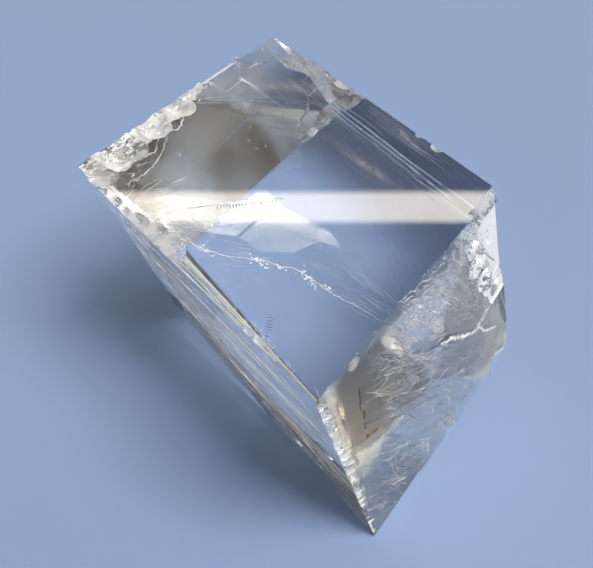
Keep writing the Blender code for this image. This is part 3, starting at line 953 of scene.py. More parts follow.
# %% The ripples
# Middle in (p, r) on the front face, spread, direction and its wander in degrees, and count.
RIPPLE_FIELDS = (
    ((38.0, 9.0), (5.0, 4.5), 48, 12, 60),
    ((46.0, 12.0), (2.0, 5.0), 62, 14, 34),
    ((24.0, 12.0), (3.5, 5.0), 62, 8, 44),
    ((14.0, 14.0), (4.5, 6.0), 44, 10, 34),
    ((24.0, 25.0), (7.0, 5.0), 44, 9, 44),
    ((40.0, 22.0), (5.0, 3.0), 36, 10, 24),
    ((34.0, 38.0), (9.0, 4.0), 32, 10, 26),
    ((12.0, 36.0), (6.0, 6.0), 48, 10, 40),
)
RIPPLE_LENGTH = (3.0, 10.0)
RIPPLE_BREADTH = (0.25, 0.6)
RIPPLE_SLOPE = (-0.14, 0.14)
RIPPLE_JAG = (0.2, 0.7)
RIPPLE_DEPTH = 0.04
RIPPLE_UNEVEN = 0.3
RIPPLE_P = (0.4, LENGTH_P - 1.5)
RIPPLE_R = (0.4, LENGTH_R - 1.0)
RIPPLE_FINISHES = (worn_calcite, worn_calcite, scuffed_calcite)
# The basin's reach in p, its lower border (r at its left end, and slope) and its floor, which
# falls by a slope from the top edge to its deepest.
BASIN_P = (23, 45)
BASIN_BORDER = (12, 0.85)
BASIN_TOP_DEPTH = 0.12
BASIN_FALL = 0.1
BASIN_DEEPEST = 1.4
ripple_rng = random.Random(31)


def ripple_depth(start, line):
    """The depth of the surface where a ripple starts: the basin's floor, or what the solid has."""
    lowest = BASIN_BORDER[0] + BASIN_BORDER[1] * (start.x - BASIN_LEDGE[-1][0])
    if between(start.x, BASIN_P) and start.y < lowest:
        deepest = min(BASIN_DEEPEST, BASIN_TOP_DEPTH + BASIN_FALL * start.y)
        return basin_floor(deepest + RIPPLE_DEPTH)
    return level(sunk("front", line) + RIPPLE_DEPTH)


def lay_ripple(middle, spread, direction, wander):
    start = Vector([ripple_rng.gauss(*pair) for pair in zip(middle, spread)])
    lean = math.radians(ripple_rng.gauss(direction, wander))
    step = Vector((math.cos(lean), math.sin(lean))) * ripple_rng.uniform(*RIPPLE_LENGTH) / 2
    line = ragged((start - step, start, start + step), *RIPPLE_JAG, ripple_rng)
    line = [point for point in line if between(point.x, RIPPLE_P) and between(point.y, RIPPLE_R)]
    if len(line) < 4:
        return
    aside = step.orthogonal().normalized()
    slope = ripple_rng.uniform(*RIPPLE_SLOPE)
    rise = ripple_depth(start, line)

    def floor(p, r):
        return rise(p, r) + slope * (Vector((p, r)) - start).dot(aside)

    finish = ripple_rng.choice(RIPPLE_FINISHES)
    breadth = ripple_rng.uniform(*RIPPLE_BREADTH)
    cut_ribbon("front", line, breadth, floor, ripple_rng, finish, RIPPLE_UNEVEN)


for middle, spread, direction, wander, count in RIPPLE_FIELDS:
    for _ in range(count):
        lay_ripple(middle, spread, direction, wander)

# %% [markdown]
# ## The ledge's white ridge
#
# The step where the basin ends is the highest of all, so its edge is crushed to a pale ridge. A
# row of crumbs along the ledge makes it, and a dull streak runs down from the basin beside it.

# %% The ledge's white ridge
RIDGE_JAG = (0.35, 0.35)
RIDGE_DEPTH = (0.0, 0.3)
RIDGE_STRETCH = (1.0, 2.5)
RIDGE_RADIUS = (0.12, 0.36)
DULL_STREAK = ((19.8, 3.3), (21.6, 7.2), (23.3, 11.6), (25.2, 16.4), (27.2, 21.2))
STREAK_JAG = (0.2, 1.0)
STREAK_WIDTH = 2.4
STREAK_DEPTH = 0.025
STREAK_UNEVEN = 0.3
ridge_rng = random.Random(37)

for point in ragged(BASIN_LEDGE[:-2], *RIDGE_JAG, ridge_rng):
    middle = face_point("front", point.x, point.y, ridge_rng.uniform(*RIDGE_DEPTH))
    stretch = ridge_rng.uniform(*RIDGE_STRETCH)
    radius = ridge_rng.uniform(*RIDGE_RADIUS)
    cut_crumb(middle, radius, edge_way(P_AXIS), stretch, ridge_rng, crushed_calcite)
streak = ragged(DULL_STREAK, *STREAK_JAG, ridge_rng)
floor = level(STREAK_DEPTH)
cut_ribbon("front", streak, STREAK_WIDTH, floor, ridge_rng, scuffed_calcite, STREAK_UNEVEN)

# %% [markdown]
# ## The ridged front left edge
#
# Along this edge the stone flaked off in a row of small overlapping scales, so it looks like a
# strip of white rope. Each scale is a little slanting sheet, tilted its own way.

# %% The ridged front left edge
SCALE_COUNT = 84
SCALE_FIRST = 1.4
SCALES_RUN = 45.6
SCALE_REACH = (1.5, 2.5, 1.7, 2.8)
SCALE_REACH_SHARE = (0.7, 1.15)
SCALE_SLANT = (0.2, 1.2)
SCALE_DEPTH = (0.35, 0.75)
SCALE_TILT = (-0.5, 0.5)
SCALE_LEAST_DEPTH = 0.1
# The outline of a scale. Its two side corners are shares of its reach and of its slant.
SCALE_OUTSIDE = -1.0
SCALE_LEAD = 0.3
LOWER_SIDE = (0.5, 0.4)
UPPER_SIDE = (0.55, 0.7)
SCALE_BREADTH = 0.5
SCALE_TIP = (0.0, 0.3)
SCALE_HEEL = (0.35, 0.7)
scale_rng = random.Random(43)


def scale_reach(share):
    """How far the ridged strip reaches on to the front face, from its top (0) to its foot (1)."""
    place = share * (len(SCALE_REACH) - 1)
    k = min(int(place), len(SCALE_REACH) - 2)
    return SCALE_REACH[k] + (SCALE_REACH[k + 1] - SCALE_REACH[k]) * (place - k)


def scale_floor(deepest, tilt, reach, start):
    return lambda p, r: deepest * (1 - p / reach) + tilt * (r - start) + SCALE_LEAST_DEPTH


for k in range(SCALE_COUNT):
    start = SCALE_FIRST + SCALES_RUN * k / SCALE_COUNT
    reach = scale_reach(k / SCALE_COUNT) * scale_rng.uniform(*SCALE_REACH_SHARE)
    slant = scale_rng.uniform(*SCALE_SLANT)
    outline = (
        (SCALE_OUTSIDE, start - SCALE_LEAD),
        (reach * LOWER_SIDE[0], start + slant * LOWER_SIDE[1]),
        (reach, start + slant + scale_rng.uniform(*SCALE_TIP)),
        (reach * UPPER_SIDE[0], start + slant * UPPER_SIDE[1] + SCALE_BREADTH),
        (SCALE_OUTSIDE, start + scale_rng.uniform(*SCALE_HEEL)),
    )
    deepest = scale_rng.uniform(*SCALE_DEPTH)
    floor = scale_floor(deepest, scale_rng.uniform(*SCALE_TILT), reach, start)
    cut_sheet("front", outline, floor, scale_rng.choice(WHITE_FINISHES[::-1]))

# %% [markdown]
# ## Crumbled edges
#
# Every edge of a handled crystal has lost crumbs. They are far too many to place one by one, so
# a seeded random scatter puts some along each edge, small and stretched along it: a few dozen on
# most, and hundreds on the knocked rear top edge.

# %% Crumbled edges
# The edge's axis, the lattice corner that it runs from, the stretch, the count and the radius.
CRUMBLED_EDGES = (
    (P_AXIS, (0, LENGTH_Q, 0), (0.5, 36.0), 220, (0.1, 0.5)),
    (P_AXIS, (0, LENGTH_Q, 0), (4.0, 30.0), 200, (0.2, 0.8)),
    (P_AXIS, (0, LENGTH_Q, 0), (34.0, 55.0), 24, (0.1, 0.35)),
    (Q_AXIS, (0, 0, 0), (28.0, 59.0), 100, (0.12, 0.55)),
    (Q_AXIS, (0, 0, 0), (9.0, 15.0), 26, (0.12, 0.4)),
    (Q_AXIS, (0, 0, 0), (1.0, 28.0), 16, (0.06, 0.15)),
    (P_AXIS, (0, 0, 0), (1.0, 46.0), 40, (0.06, 0.2)),
    (Q_AXIS, (LENGTH_P, 0, 0), (1.0, 58.0), 40, (0.06, 0.22)),
    (R_AXIS, (0, 0, 0), (1.0, 47.0), 60, (0.12, 0.35)),
    (R_AXIS, (LENGTH_P, 0, 0), (3.0, 26.0), 30, (0.12, 0.4)),
    (R_AXIS, (LENGTH_P, 0, 0), (24.0, 47.0), 24, (0.08, 0.25)),
    (R_AXIS, (0, LENGTH_Q, 0), (1.0, 47.0), 30, (0.08, 0.22)),
    (R_AXIS, (LENGTH_P, LENGTH_Q, 0), (1.0, 47.0), 24, (0.06, 0.16)),
    (P_AXIS, (0, 0, LENGTH_R), (1.0, 55.0), 40, (0.1, 0.3)),
    (P_AXIS, (0, LENGTH_Q, LENGTH_R), (1.0, 55.0), 24, (0.05, 0.12)),
    (Q_AXIS, (0, 0, LENGTH_R), (1.0, 59.0), 30, (0.08, 0.2)),
    (Q_AXIS, (LENGTH_P, 0, LENGTH_R), (1.0, 59.0), 24, (0.05, 0.14)),
)
CRUMB_STRETCH = (1.0, 2.2)
CRUMB_OUTWARD = (0.1, 0.5)
CRUSHED_RADIUS = 0.38
crumb_rng = random.Random(71)

for axis, corner, (first, last), count, (least, most) in CRUMBLED_EDGES:
    for _ in range(count):
        middle = Vector(corner)
        middle[axis] += crumb_rng.uniform(first, last)
        radius = least + (most - least) * crumb_rng.random() ** 2
        for other in range(3):
            if other != axis:
                outward = -1 if corner[other] == 0 else 1
                middle[other] += outward * radius * crumb_rng.uniform(*CRUMB_OUTWARD)
        finish = crushed_calcite if most > CRUSHED_RADIUS else bruised_calcite
        stretch = crumb_rng.uniform(*CRUMB_STRETCH)
        cut_crumb(middle, radius, edge_way(axis), stretch, crumb_rng, finish)

# %% [markdown]
# ## Fine lines on the faces
#
# Between the big breaks run fine ones: torn rims of shells, a crack across the top, river lines
# low on the front face and a long line on the rear one, which is seen through the stone. Each is
# a shallow ribbon that follows a few points, made ragged and run out at both ends.

# %% Fine lines on the faces
# Face, finish, width, depth and the points of the line.
FINE_LINES = (
    ("top", bruised_calcite, 0.3, 0.05, ((18.4, 53.9), (20.5, 53.3), (22.6, 54.3), (23.7, 55.9))),
    ("top", bruised_calcite, 0.16, 0.04, (
        (17.4, 53.1), (14.6, 51.3), (11.6, 49.9), (8.3, 49.3), (4.3, 49.9),
    )),
    ("top", broken_calcite, 0.25, 0.05, (
        (7.0, 52.3), (10.1, 53.1), (13.0, 51.9), (15.3, 53.6), (17.7, 55.3),
    )),
    ("top", bruised_calcite, 0.05, 0.03, ((27.1, 56.6), (32.6, 51.6))),
    ("top", bruised_calcite, 0.05, 0.03, ((28.1, 57.3), (33.3, 53.1))),
    ("top", bruised_calcite, 0.06, 0.03, ((34.1, 58.0), (34.6, 53.9), (42.2, 54.4))),
    ("top", bruised_calcite, 0.05, 0.03, ((42.2, 54.4), (42.5, 59.0))),
    ("top", clear_calcite, 0.14, 0.05, ((9.1, 38.3), (11.0, 37.0), (14.0, 34.9))),
    ("top", clear_calcite, 0.34, 0.06, (
        (14.0, 34.9), (14.6, 34.4), (15.5, 33.6), (18.1, 31.6), (20.6, 29.9), (23.6, 27.8),
    )),
    ("top", clear_calcite, 0.12, 0.04, ((20.7, 28.1), (17.7, 28.1), (15.0, 28.0), (11.6, 28.0))),
    ("top", bruised_calcite, 0.15, 0.04, (
        (3.4, 38.6), (4.1, 37.1), (4.4, 34.1), (5.3, 31.0), (5.7, 29.7), (7.3, 26.8),
        (10.3, 22.9),
    )),
    ("top", bruised_calcite, 0.15, 0.05, (
        (10.3, 22.9), (11.9, 20.9), (12.5, 18.9), (14.2, 16.8), (14.6, 14.6), (15.0, 11.4),
    )),
    ("top", bruised_calcite, 0.1, 0.04, ((15.0, 11.4), (15.3, 9.2), (16.7, 4.4), (17.4, 0.1))),
    ("top", bruised_calcite, 0.05, 0.02, ((20.4, 10.2), (20.3, 7.5), (20.3, 5.5))),
    ("top", bruised_calcite, 0.05, 0.02, ((18.5, 6.5), (18.9, 3.8), (19.0, 0.7))),
    ("top", satin_calcite, 0.04, 0.02, ((23.4, 44.6), (35.6, 46.0), (47.9, 36.6))),
    ("top", bruised_calcite, 0.06, 0.02, ((53.2, 10.6), (53.0, 17.0), (53.1, 23.8))),
    ("top", bruised_calcite, 0.05, 0.02, ((51.9, 15.0), (52.1, 21.0), (52.0, 30.0))),
    ("top", bruised_calcite, 0.05, 0.02, ((50.3, 22.0), (50.6, 30.0), (50.2, 38.0))),
    ("front", bruised_calcite, 0.3, 0.08, (
        (24.9, 0.1), (27.1, 0.8), (29.0, 0.9), (31.2, 2.2), (32.3, 1.6), (35.7, 3.1),
        (38.7, 4.1), (40.8, 4.4),
    )),
    ("front", crushed_calcite, 0.55, 0.1, (
        (28.0, 18.0), (32.8, 21.7), (37.2, 24.0), (40.6, 26.1), (43.4, 28.6),
    )),
    ("front", crushed_calcite, 0.6, 0.12, ((43.4, 28.6), (46.8, 33.2), (51.3, 36.4))),
    ("front", bruised_calcite, 0.22, 0.05, (
        (4.8, 24.8), (9.3, 28.9), (14.6, 34.1), (17.0, 35.3), (22.7, 40.8),
    )),
    ("front", bruised_calcite, 0.18, 0.05, ((3.3, 26.3), (6.9, 30.1), (11.8, 34.5))),
    ("front", crushed_calcite, 0.26, 0.06, ((7.2, 39.3), (10.5, 43.0), (14.8, 46.2))),
    ("front", bruised_calcite, 0.26, 0.05, ((11.3, 34.4), (10.8, 37.1), (10.4, 40.3))),
    ("front", crushed_calcite, 0.45, 0.06, ((20.8, 42.1), (20.7, 44.0), (20.4, 46.5))),
    ("front", bruised_calcite, 0.24, 0.04, ((13.4, 12.3), (16.3, 12.2), (17.5, 11.3))),
    ("front", bruised_calcite, 0.26, 0.05, (
        (19.4, 22.3), (22.4, 25.1), (25.5, 26.3), (27.7, 24.3),
    )),
    ("front", crushed_calcite, 0.4, 0.05, ((33.3, 34.3), (35.0, 34.7), (37.0, 35.4))),
    ("front", crushed_calcite, 0.2, 0.04, ((29.7, 36.6), (29.8, 38.0), (29.9, 40.3))),
    ("front", bruised_calcite, 0.14, 0.04, ((11.5, 9.2), (13.3, 9.2), (16.9, 9.5), (18.6, 10.1))),
    ("front", bruised_calcite, 0.16, 0.04, (
        (11.8, 17.0), (16.1, 18.7), (18.5, 21.2), (22.1, 21.3),
    )),
    ("front", bruised_calcite, 0.2, 0.05, ((27.1, 28.0), (29.4, 28.6), (32.2, 29.3))),
    ("front", bruised_calcite, 0.1, 0.03, ((12.4, 1.4), (13.8, 1.0), (16.0, 0.6))),
    ("front", bruised_calcite, 0.14, 0.04, ((7.6, 30.0), (10.8, 32.7), (12.7, 33.1))),
    ("left", broken_calcite, 0.2, 0.1, ((50.0, 22.0), (29.0, 27.6), (1.2, 25.0))),
    ("rear", bruised_calcite, 0.06, 0.02, (
        (27.0, 3.0), (33.0, 11.0), (39.0, 19.0), (45.0, 28.0), (51.0, 37.0),
    )),
)
LINE_JAG = 0.3
LINE_PITCH = 0.55
line_rng = random.Random(83)

for face, finish, width, depth, line in FINE_LINES:
    points = ragged(line, min(LINE_JAG, width), LINE_PITCH, line_rng)
    cut_ribbon(face, points, width, level(sunk(face, points) + depth), line_rng, finish)

# %% [markdown]
# ## Threads and scratches
#
# Torn cleavage leaves bundles of fine, nearly parallel threads, and handling leaves scratches.
# Both are strewn at random over small fields, each with its own direction, because their order is
# in the direction and not in the place.

# %% Threads and scratches
# Face, finish, middle, spread, direction and its wander in degrees, length, width and count.
THREAD_FIELDS = (
    ("front", crushed_calcite, (43.5, 4.5), (1.8, 2.6), 58, 16, (1.5, 5.5), 0.13, 60),
    ("front", crushed_calcite, (48.0, 8.0), (1.2, 4.0), 66, 16, (1.5, 5.0), 0.24, 60),
    ("front", bruised_calcite, (44.0, 17.0), (3.0, 3.4), 40, 30, (1.0, 3.5), 0.15, 40),
    ("front", crushed_calcite, (30.5, 8.5), (2.6, 3.8), 54, 8, (3.0, 7.0), 0.12, 44),
    ("front", bruised_calcite, (23.5, 12.0), (0.9, 4.0), 68, 7, (2.0, 6.0), 0.12, 30),
    ("front", scuffed_calcite, (17.0, 13.0), (3.0, 4.0), 30, 9, (3.0, 9.0), 0.09, 44),
    ("front", scuffed_calcite, (25.0, 22.0), (5.0, 6.0), 44, 9, (3.0, 10.0), 0.09, 46),
    ("front", scuffed_calcite, (36.0, 36.0), (7.0, 4.0), 30, 10, (3.0, 9.0), 0.14, 16),
    ("front", scuffed_calcite, (8.0, 38.0), (4.0, 5.0), 50, 10, (3.0, 8.0), 0.13, 26),
    ("front", scuffed_calcite, (20.0, 38.0), (8.0, 4.0), 46, 10, (3.0, 9.0), 0.13, 24),
    ("front", bruised_calcite, (13.0, 42.0), (6.0, 2.8), 36, 16, (2.0, 7.0), 0.17, 30),
    ("top", bruised_calcite, (2.6, 43.0), (1.1, 3.0), -35, 35, (0.8, 3.0), 0.12, 50),
    ("top", bruised_calcite, (5.5, 43.5), (2.4, 2.4), -20, 16, (2.0, 5.0), 0.05, 50),
    ("top", bruised_calcite, (4.4, 36.6), (1.8, 2.4), -75, 22, (1.0, 3.5), 0.1, 40),
    ("top", bruised_calcite, (6.0, 53.0), (3.0, 2.0), 10, 30, (0.8, 3.0), 0.08, 30),
    ("top", bruised_calcite, (10.0, 28.0), (3.0, 4.0), -55, 10, (2.0, 6.0), 0.04, 30),
    ("top", bruised_calcite, (18.6, 8.0), (1.5, 4.5), -79, 7, (3.0, 8.0), 0.035, 20),
    ("top", bruised_calcite, (0.9, 14.0), (0.4, 5.0), 80, 30, (0.5, 1.6), 0.09, 50),
    ("top", bruised_calcite, (48.5, 32.0), (4.0, 13.0), 89, 3, (5.0, 16.0), 0.03, 60),
    ("top", bruised_calcite, (30.0, 30.0), (14.0, 14.0), 60, 40, (0.3, 1.0), 0.04, 40),
)
THREAD_DEPTH = 0.03
THREAD_PITCH = 0.6
THREAD_JAG = {"top": 1.0, "front": 2.2}
THREAD_MARGIN = 0.1
thread_rng = random.Random(131)


def lay_thread(face, finish, start, heading, length, width):
    """One ragged thread of a field, cut short where it would leave the face."""
    step = Vector((math.cos(heading), math.sin(heading))) * length / 2
    jag = width * THREAD_JAG[face]
    points = ragged((start - step, start, start + step), jag, THREAD_PITCH, thread_rng)
    across = LENGTH_R if face == "front" else LENGTH_Q
    ends_x = (THREAD_MARGIN, LENGTH_P - THREAD_MARGIN)
    ends_y = (THREAD_MARGIN, across - THREAD_MARGIN)
    points = [point for point in points if between(point.x, ends_x) and between(point.y, ends_y)]
    if len(points) > 2:
        floor = level(sunk(face, points) + THREAD_DEPTH)
        cut_ribbon(face, points, width, floor, thread_rng, finish)


for face, finish, middle, spread, direction, wander, lengths, width, count in THREAD_FIELDS:
    for _ in range(count):
        start = Vector([thread_rng.gauss(*pair) for pair in zip(middle, spread)])
        heading = math.radians(thread_rng.gauss(direction, wander))
        lay_thread(face, finish, start, heading, thread_rng.uniform(*lengths), width)

# %% [markdown]
# ## The comb
#
# A short crack in the top face has a row of tiny teeth along its lower lip, like a comb. It lies
# in the white band, so its walls, which don't mirror the band, show as dark lines. A row of short
# rungs near the left edge is cut in the same way.

# %% The comb
COMB_LINE = Vector((9.2, 38.3)), Vector((23.5, 27.7))
COMB_WIDTH = 0.34
COMB_TEETH = 20
# The stretch of the comb that has teeth, as shares of its length.
TEETH_FROM = 0.3
TEETH_RUN = 0.65
COMB_TOOTH = Vector((-0.55, -0.7))
TOOTH_SHARE = (0.6, 1.3)
TOOTH_WIDTH = 0.2
RUNG_LINE = Vector((4.6, 13.8)), Vector((0.8, 11.2))
RUNG_COUNT = 9
RUNG_HALF = Vector((0.3, -0.45))
RUNG_SHARE = (0.5, 1.2)
WALL_DEPTH = 0.1
WALL_SLOPE = 0.9
CRACK_PITCH = 0.6
CRACK_PIECES = 6
LIP_JAG = 0.2
comb_rng = random.Random(151)


def sloping_floor(start, end):
    """A floor that dips away from one side of a line, so that it doesn't mirror like the face."""
    sideways = (end - start).orthogonal().normalized()
    return lambda p, q: WALL_DEPTH + WALL_SLOPE * (Vector((p, q)) - start).dot(sideways)


def cut_crack(start, end, width):
    pitch = max(CRACK_PITCH, (end - start).length / CRACK_PIECES)
    points = ragged([start, end], width * LIP_JAG, pitch, comb_rng)
    if len(points) < 3:
        points.insert(1, start.lerp(end, 0.5))
    cut_ribbon("top", points, width, sloping_floor(start, end), comb_rng, clear_calcite)


cut_crack(*COMB_LINE, COMB_WIDTH)
for k in range(COMB_TEETH):
    root = COMB_LINE[0].lerp(COMB_LINE[1], TEETH_FROM + TEETH_RUN * k / COMB_TEETH)
    cut_crack(root, root + COMB_TOOTH * comb_rng.uniform(*TOOTH_SHARE), TOOTH_WIDTH)
for k in range(RUNG_COUNT):
    middle = RUNG_LINE[0].lerp(RUNG_LINE[1], k / RUNG_COUNT)
    rung = RUNG_HALF * comb_rng.uniform(*RUNG_SHARE)
    cut_crack(middle - rung, middle + rung, TOOTH_WIDTH)

# %% [markdown]
# ## The beads of the surface crack
#
# Where the crack comes up through the top face, the stone between its two lips crumbled into a
# row of beads, thickest in two places. They are crumbs again, strewn along the crack's line.

# %% The beads of the surface crack
CRACK_LINE = (
    (4.1, 37.1), (4.4, 34.1), (5.7, 29.7), (7.3, 26.8), (10.3, 22.9), (11.9, 20.9),
    (12.5, 18.9), (14.2, 16.8), (14.9, 12.9), (15.3, 9.2), (16.7, 4.4),
)
CRACK_JAG = (0.15, 0.4)
BEAD_RADIUS = (0.05, 0.16)
# Middle in (p, q), count and spread of each cluster of bigger beads.
BEAD_CLUSTERS = (
    ((5.6, 29.9), 14, 0.7),
    ((10.6, 22.4), 30, 1.1),
    ((12.6, 18.6), 12, 0.5),
    ((14.6, 14.0), 40, 1.3),
    ((15.6, 10.4), 10, 0.4),
)
CLUSTER_RADIUS = (0.08, 0.22)
CLUSTER_STRETCH = 3
BEAD_DEPTH_SHARE = (-0.3, 0.3)
BEAD_SQUASH = 0.6
bead_rng = random.Random(97)


def cut_bead(p, q, radii):
    radius = bead_rng.uniform(*radii)
    middle = face_point("top", p, q, radius * bead_rng.uniform(*BEAD_DEPTH_SHARE))
    cut_crumb(middle, radius, outward_normal("top"), BEAD_SQUASH, bead_rng, crushed_calcite)


for point in ragged(CRACK_LINE, *CRACK_JAG, bead_rng):
    cut_bead(point.x, point.y, BEAD_RADIUS)
for (p, q), count, spread in BEAD_CLUSTERS:
    for _ in range(count):
        bead_p = bead_rng.gauss(p, spread / CLUSTER_STRETCH)
        cut_bead(bead_p, bead_rng.gauss(q, spread), CLUSTER_RADIUS)

# %% [markdown]
# ## Clefts inside the stone
#
# A cleft is a crack that hasn't let go: a gap thinner than a hair, just under the surface and
# almost level with it. It mirrors the room as a pale cloud. A round fan of triangles takes its
# outline, is divided finely, bent to its depth and extruded by the thickness of the gap. It is
# cut from the stone as the other tools are, and leaves a closed hollow.

# %% Clefts inside the stone
HUB_REACH = 0.5
CLEFT_GAP = 0.015
CLEFT_CUTS = 9
CLEFT_WAVE = 0.004
CLEFT_WAVES_PER_MM = 0.35


def cut_cleft(face, outline, depth_at):
    """A thin closed hollow under a face. depth_at(along, across) is how far down it lies."""
    cleft = bmesh.new()
    bmesh.ops.create_circle(cleft, segments=len(outline), radius=1, cap_ends=True, cap_tris=True)
    middle = sum((Vector(point) for point in outline), Vector((0, 0))) / len(outline)
    rim = [vert for vert in cleft.verts if vert.co.length > HUB_REACH]
    hub = [vert for vert in cleft.verts if vert.co.length <= HUB_REACH]
    for vert, point in zip(rim, outline):
        vert.co = (*point, 0)
    for vert in hub:
        vert.co = (*middle, 0)
    bmesh.ops.subdivide_edges(cleft, edges=cleft.edges, cuts=CLEFT_CUTS, use_grid_fill=True)
    for vert in cleft.verts:
        swell = noise.noise(Vector((vert.co.x, vert.co.y, 0)) * CLEFT_WAVES_PER_MM) * CLEFT_WAVE
        vert.co.z = depth_at(vert.co.x, vert.co.y) + swell
    for vert in grown_vertices(cleft):
        vert.co.z += CLEFT_GAP
    for vert in cleft.verts:
        vert.co = LATTICE @ face_point(face, *vert.co)
    add_tool(cleft, cleft_calcite)


CLOUD_OUTLINES = (
    (
        (1.7, 47.4), (3.4, 39.8), (7.6, 33.2), (11.5, 28.2),
        (20.5, 28.3), (17.6, 32.0), (15.6, 34.2), (8.9, 42.4),
    ),
    (
        (20.2, 27.7), (11.7, 27.6), (12.3, 23.2), (16.3, 19.0), (21.2, 17.3),
        (23.1, 13.0), (24.3, 16.9), (23.4, 21.7), (22.6, 25.0),
    ),
)
CLOUD_LINE = Vector((0.5, 46.8)), Vector((49.7, 0.3))
CLOUD_DEPTH = 0.24
CLOUD_LEAST_DEPTH = 0.04
CLOUD_CURVE = 0.0006


def cloud_depth(p, q):
    """Deepest under the line of the bright band, and rising away from it on both sides."""
    start, end = CLOUD_LINE
    way = (end - start).normalized()
    away = (Vector((p, q)) - start).cross(way)
    return max(CLOUD_LEAST_DEPTH, CLOUD_DEPTH - CLOUD_CURVE * away**2)


for outline in CLOUD_OUTLINES:
    cut_cleft("top", outline, cloud_depth)

# %% [markdown]
# ## Cut the crystal
#
# The solid's mesh is loose triangles, so a merged copy of it is cut. The manifold solver takes
# all the tools at once. The cleavage faces get their finish first, by the way that they face, and
# the solid's own breaks on the right get a broken one, patched with white on the bruised corner.
# Cleavage faces are then shaded flat and broken ones smooth, with a hard line where two of them
# meet: a smooth normal would bend every reflection in the flat faces.

# %% Cut the crystal
MERGE_DISTANCE = 1e-7
FACE_FINISHES = {
    "top": clear_calcite,
    "left": clear_calcite,
    "front": worn_calcite,
    "rear": satin_calcite,
    "base": slid_calcite,
    "right": slid_calcite,
}
FACE_TILT = math.radians(4)
# Where the broken right side starts in p, and where its bruised corner ends in q and starts in r.
BREAKS_FROM = 44.0
BRUISE_TO = 6.0
BRUISE_FROM = 4.5
PATCHES_PER_MM = 1.3
BLANK_FINISHES = [
    clear_calcite,
    worn_calcite,
    satin_calcite,
    slid_calcite,
    crushed_calcite,
    broken_calcite,
]


def blank_finish(polygon):
    """The finish that one face of the solid keeps wherever no tool reaches it."""
    for face, finish in FACE_FINISHES.items():
        if polygon.normal.angle(outward_normal(face)) < FACE_TILT:
            return finish
    place = LATTICE.inverted() @ polygon.center
    if place.x <= BREAKS_FROM:
        return clear_calcite
    bruised = place.y < BRUISE_TO and place.z > BRUISE_FROM
    white = noise.noise(place * PATCHES_PER_MM) > 0
    return crushed_calcite if bruised and white else broken_calcite


def crystal_blank():
    """A merged copy of the CAD solid, with its flat faces whole again."""
    blank = bmesh.new()
    blank.from_mesh(cad_crystal.data)
    bmesh.ops.remove_doubles(blank, verts=blank.verts, dist=MERGE_DISTANCE)
    mesh = bpy.data.meshes.new("clear_crystal")
    blank.to_mesh(mesh)
    blank.free()
    mesh.materials.clear()
    for finish in BLANK_FINISHES:
        mesh.materials.append(finish)
    for polygon in mesh.polygons:
        polygon.material_index = BLANK_FINISHES.index(blank_finish(polygon))
    blank_object = bpy.data.objects.new("clear_crystal", mesh)
    scene.collection.objects.link(blank_object)
    return blank_object


clear_crystal = crystal_blank()
print("blank:", len(clear_crystal.data.polygons), "faces")

# %% Cut and shade the crystal
SMOOTHEST = math.radians(24)


def cut(piece):
    scene.collection.children.link(tools)
    breaks = piece.modifiers.new("breaks", "BOOLEAN")
    breaks.operation = "DIFFERENCE"
    breaks.solver = "MANIFOLD"
    breaks.operand_type = "COLLECTION"
    breaks.collection = tools
    breaks.material_mode = "TRANSFER"
    graph = bpy.context.evaluated_depsgraph_get()
    graph.update()
    result = bpy.data.meshes.new_from_object(piece.evaluated_get(graph))
    piece.modifiers.clear()
    piece.data = result
    for tool in list(tools.objects):
        bpy.data.objects.remove(tool)
    scene.collection.children.unlink(tools)


def shade(piece):
    """Flat cleavage faces and smooth broken ones, with a hard line wherever two of them meet."""
    mesh = bmesh.new()
    mesh.from_mesh(piece.data)
    curved = [k for k, slot in enumerate(piece.data.materials) if slot in CURVED_FINISHES]
    for face in mesh.faces:
        face.smooth = face.material_index in curved
    for edge in mesh.edges:
        slots = {face.material_index for face in edge.link_faces}
        same_curved = len(slots) == 1 and slots.pop() in curved
        edge.smooth = same_curved and edge.calc_face_angle(math.pi) < SMOOTHEST
    mesh.to_mesh(piece.data)
    mesh.free()


cut(clear_crystal)
shade(clear_crystal)
print("clear_crystal:", len(clear_crystal.data.polygons), "faces")
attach(clear_crystal, "root")
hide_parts("calcite_crystal")

# %% [markdown]
# ## The rust speck
#
# A little arrow of rust and a few dark films sit on the front face. They are iron stain, so they
# are a piece of their own with two finishes, one for the rust and one for the films. Each streak
# is a ball, squashed and stretched, pressed half into the stone, and a fine bump roughens it.

# %% The rust's finishes
RUST_BROWN = (0.4, 0.22, 0.06, 1.0)
RUST_DARK = (0.06, 0.035, 0.02, 1.0)
FILM_GREY = (0.16, 0.14, 0.12, 1.0)
FILM_DARK = (0.05, 0.045, 0.04, 1.0)
RUST_GRAIN = 2200.0
RUST_RAMP = (0.4, 0.6)
RUST_RANGE = (0.3, 0.7)
RUST_ROUGHNESS = (0.9, 0.6)
RUST_RELIEF = 0.6


def make_rust(name, dark, light):
    material = bpy.data.materials.new(name)
    material.use_nodes = True
    shader = shader_of(material)
    place = add_node(material, "ShaderNodeTexCoord", -7, 0).outputs["Object"]
    patches = add_noise(material, place, -5, 1, RUST_GRAIN, 4.0)
    colours = add_node(material, "ShaderNodeValToRGB", -3, 1)
    for stop, position, colour in zip(colours.color_ramp.elements, RUST_RAMP, (dark, light)):
        stop.position = position
        stop.color = colour
    join(material, patches, colours.inputs["Fac"])
    join(material, colours.outputs["Color"], shader.inputs["Base Color"])
    rough = map_range(material, -3, 2, patches, RUST_RANGE, RUST_ROUGHNESS)
    join(material, rough, shader.inputs["Roughness"])
    add_relief(material, shader, patches, RUST_RELIEF)
    return material


rust = make_rust("rust", RUST_DARK, RUST_BROWN)
dark_film = make_rust("dark_film", FILM_DARK, FILM_GREY)
print("finishes:", rust.name, dark_film.name)

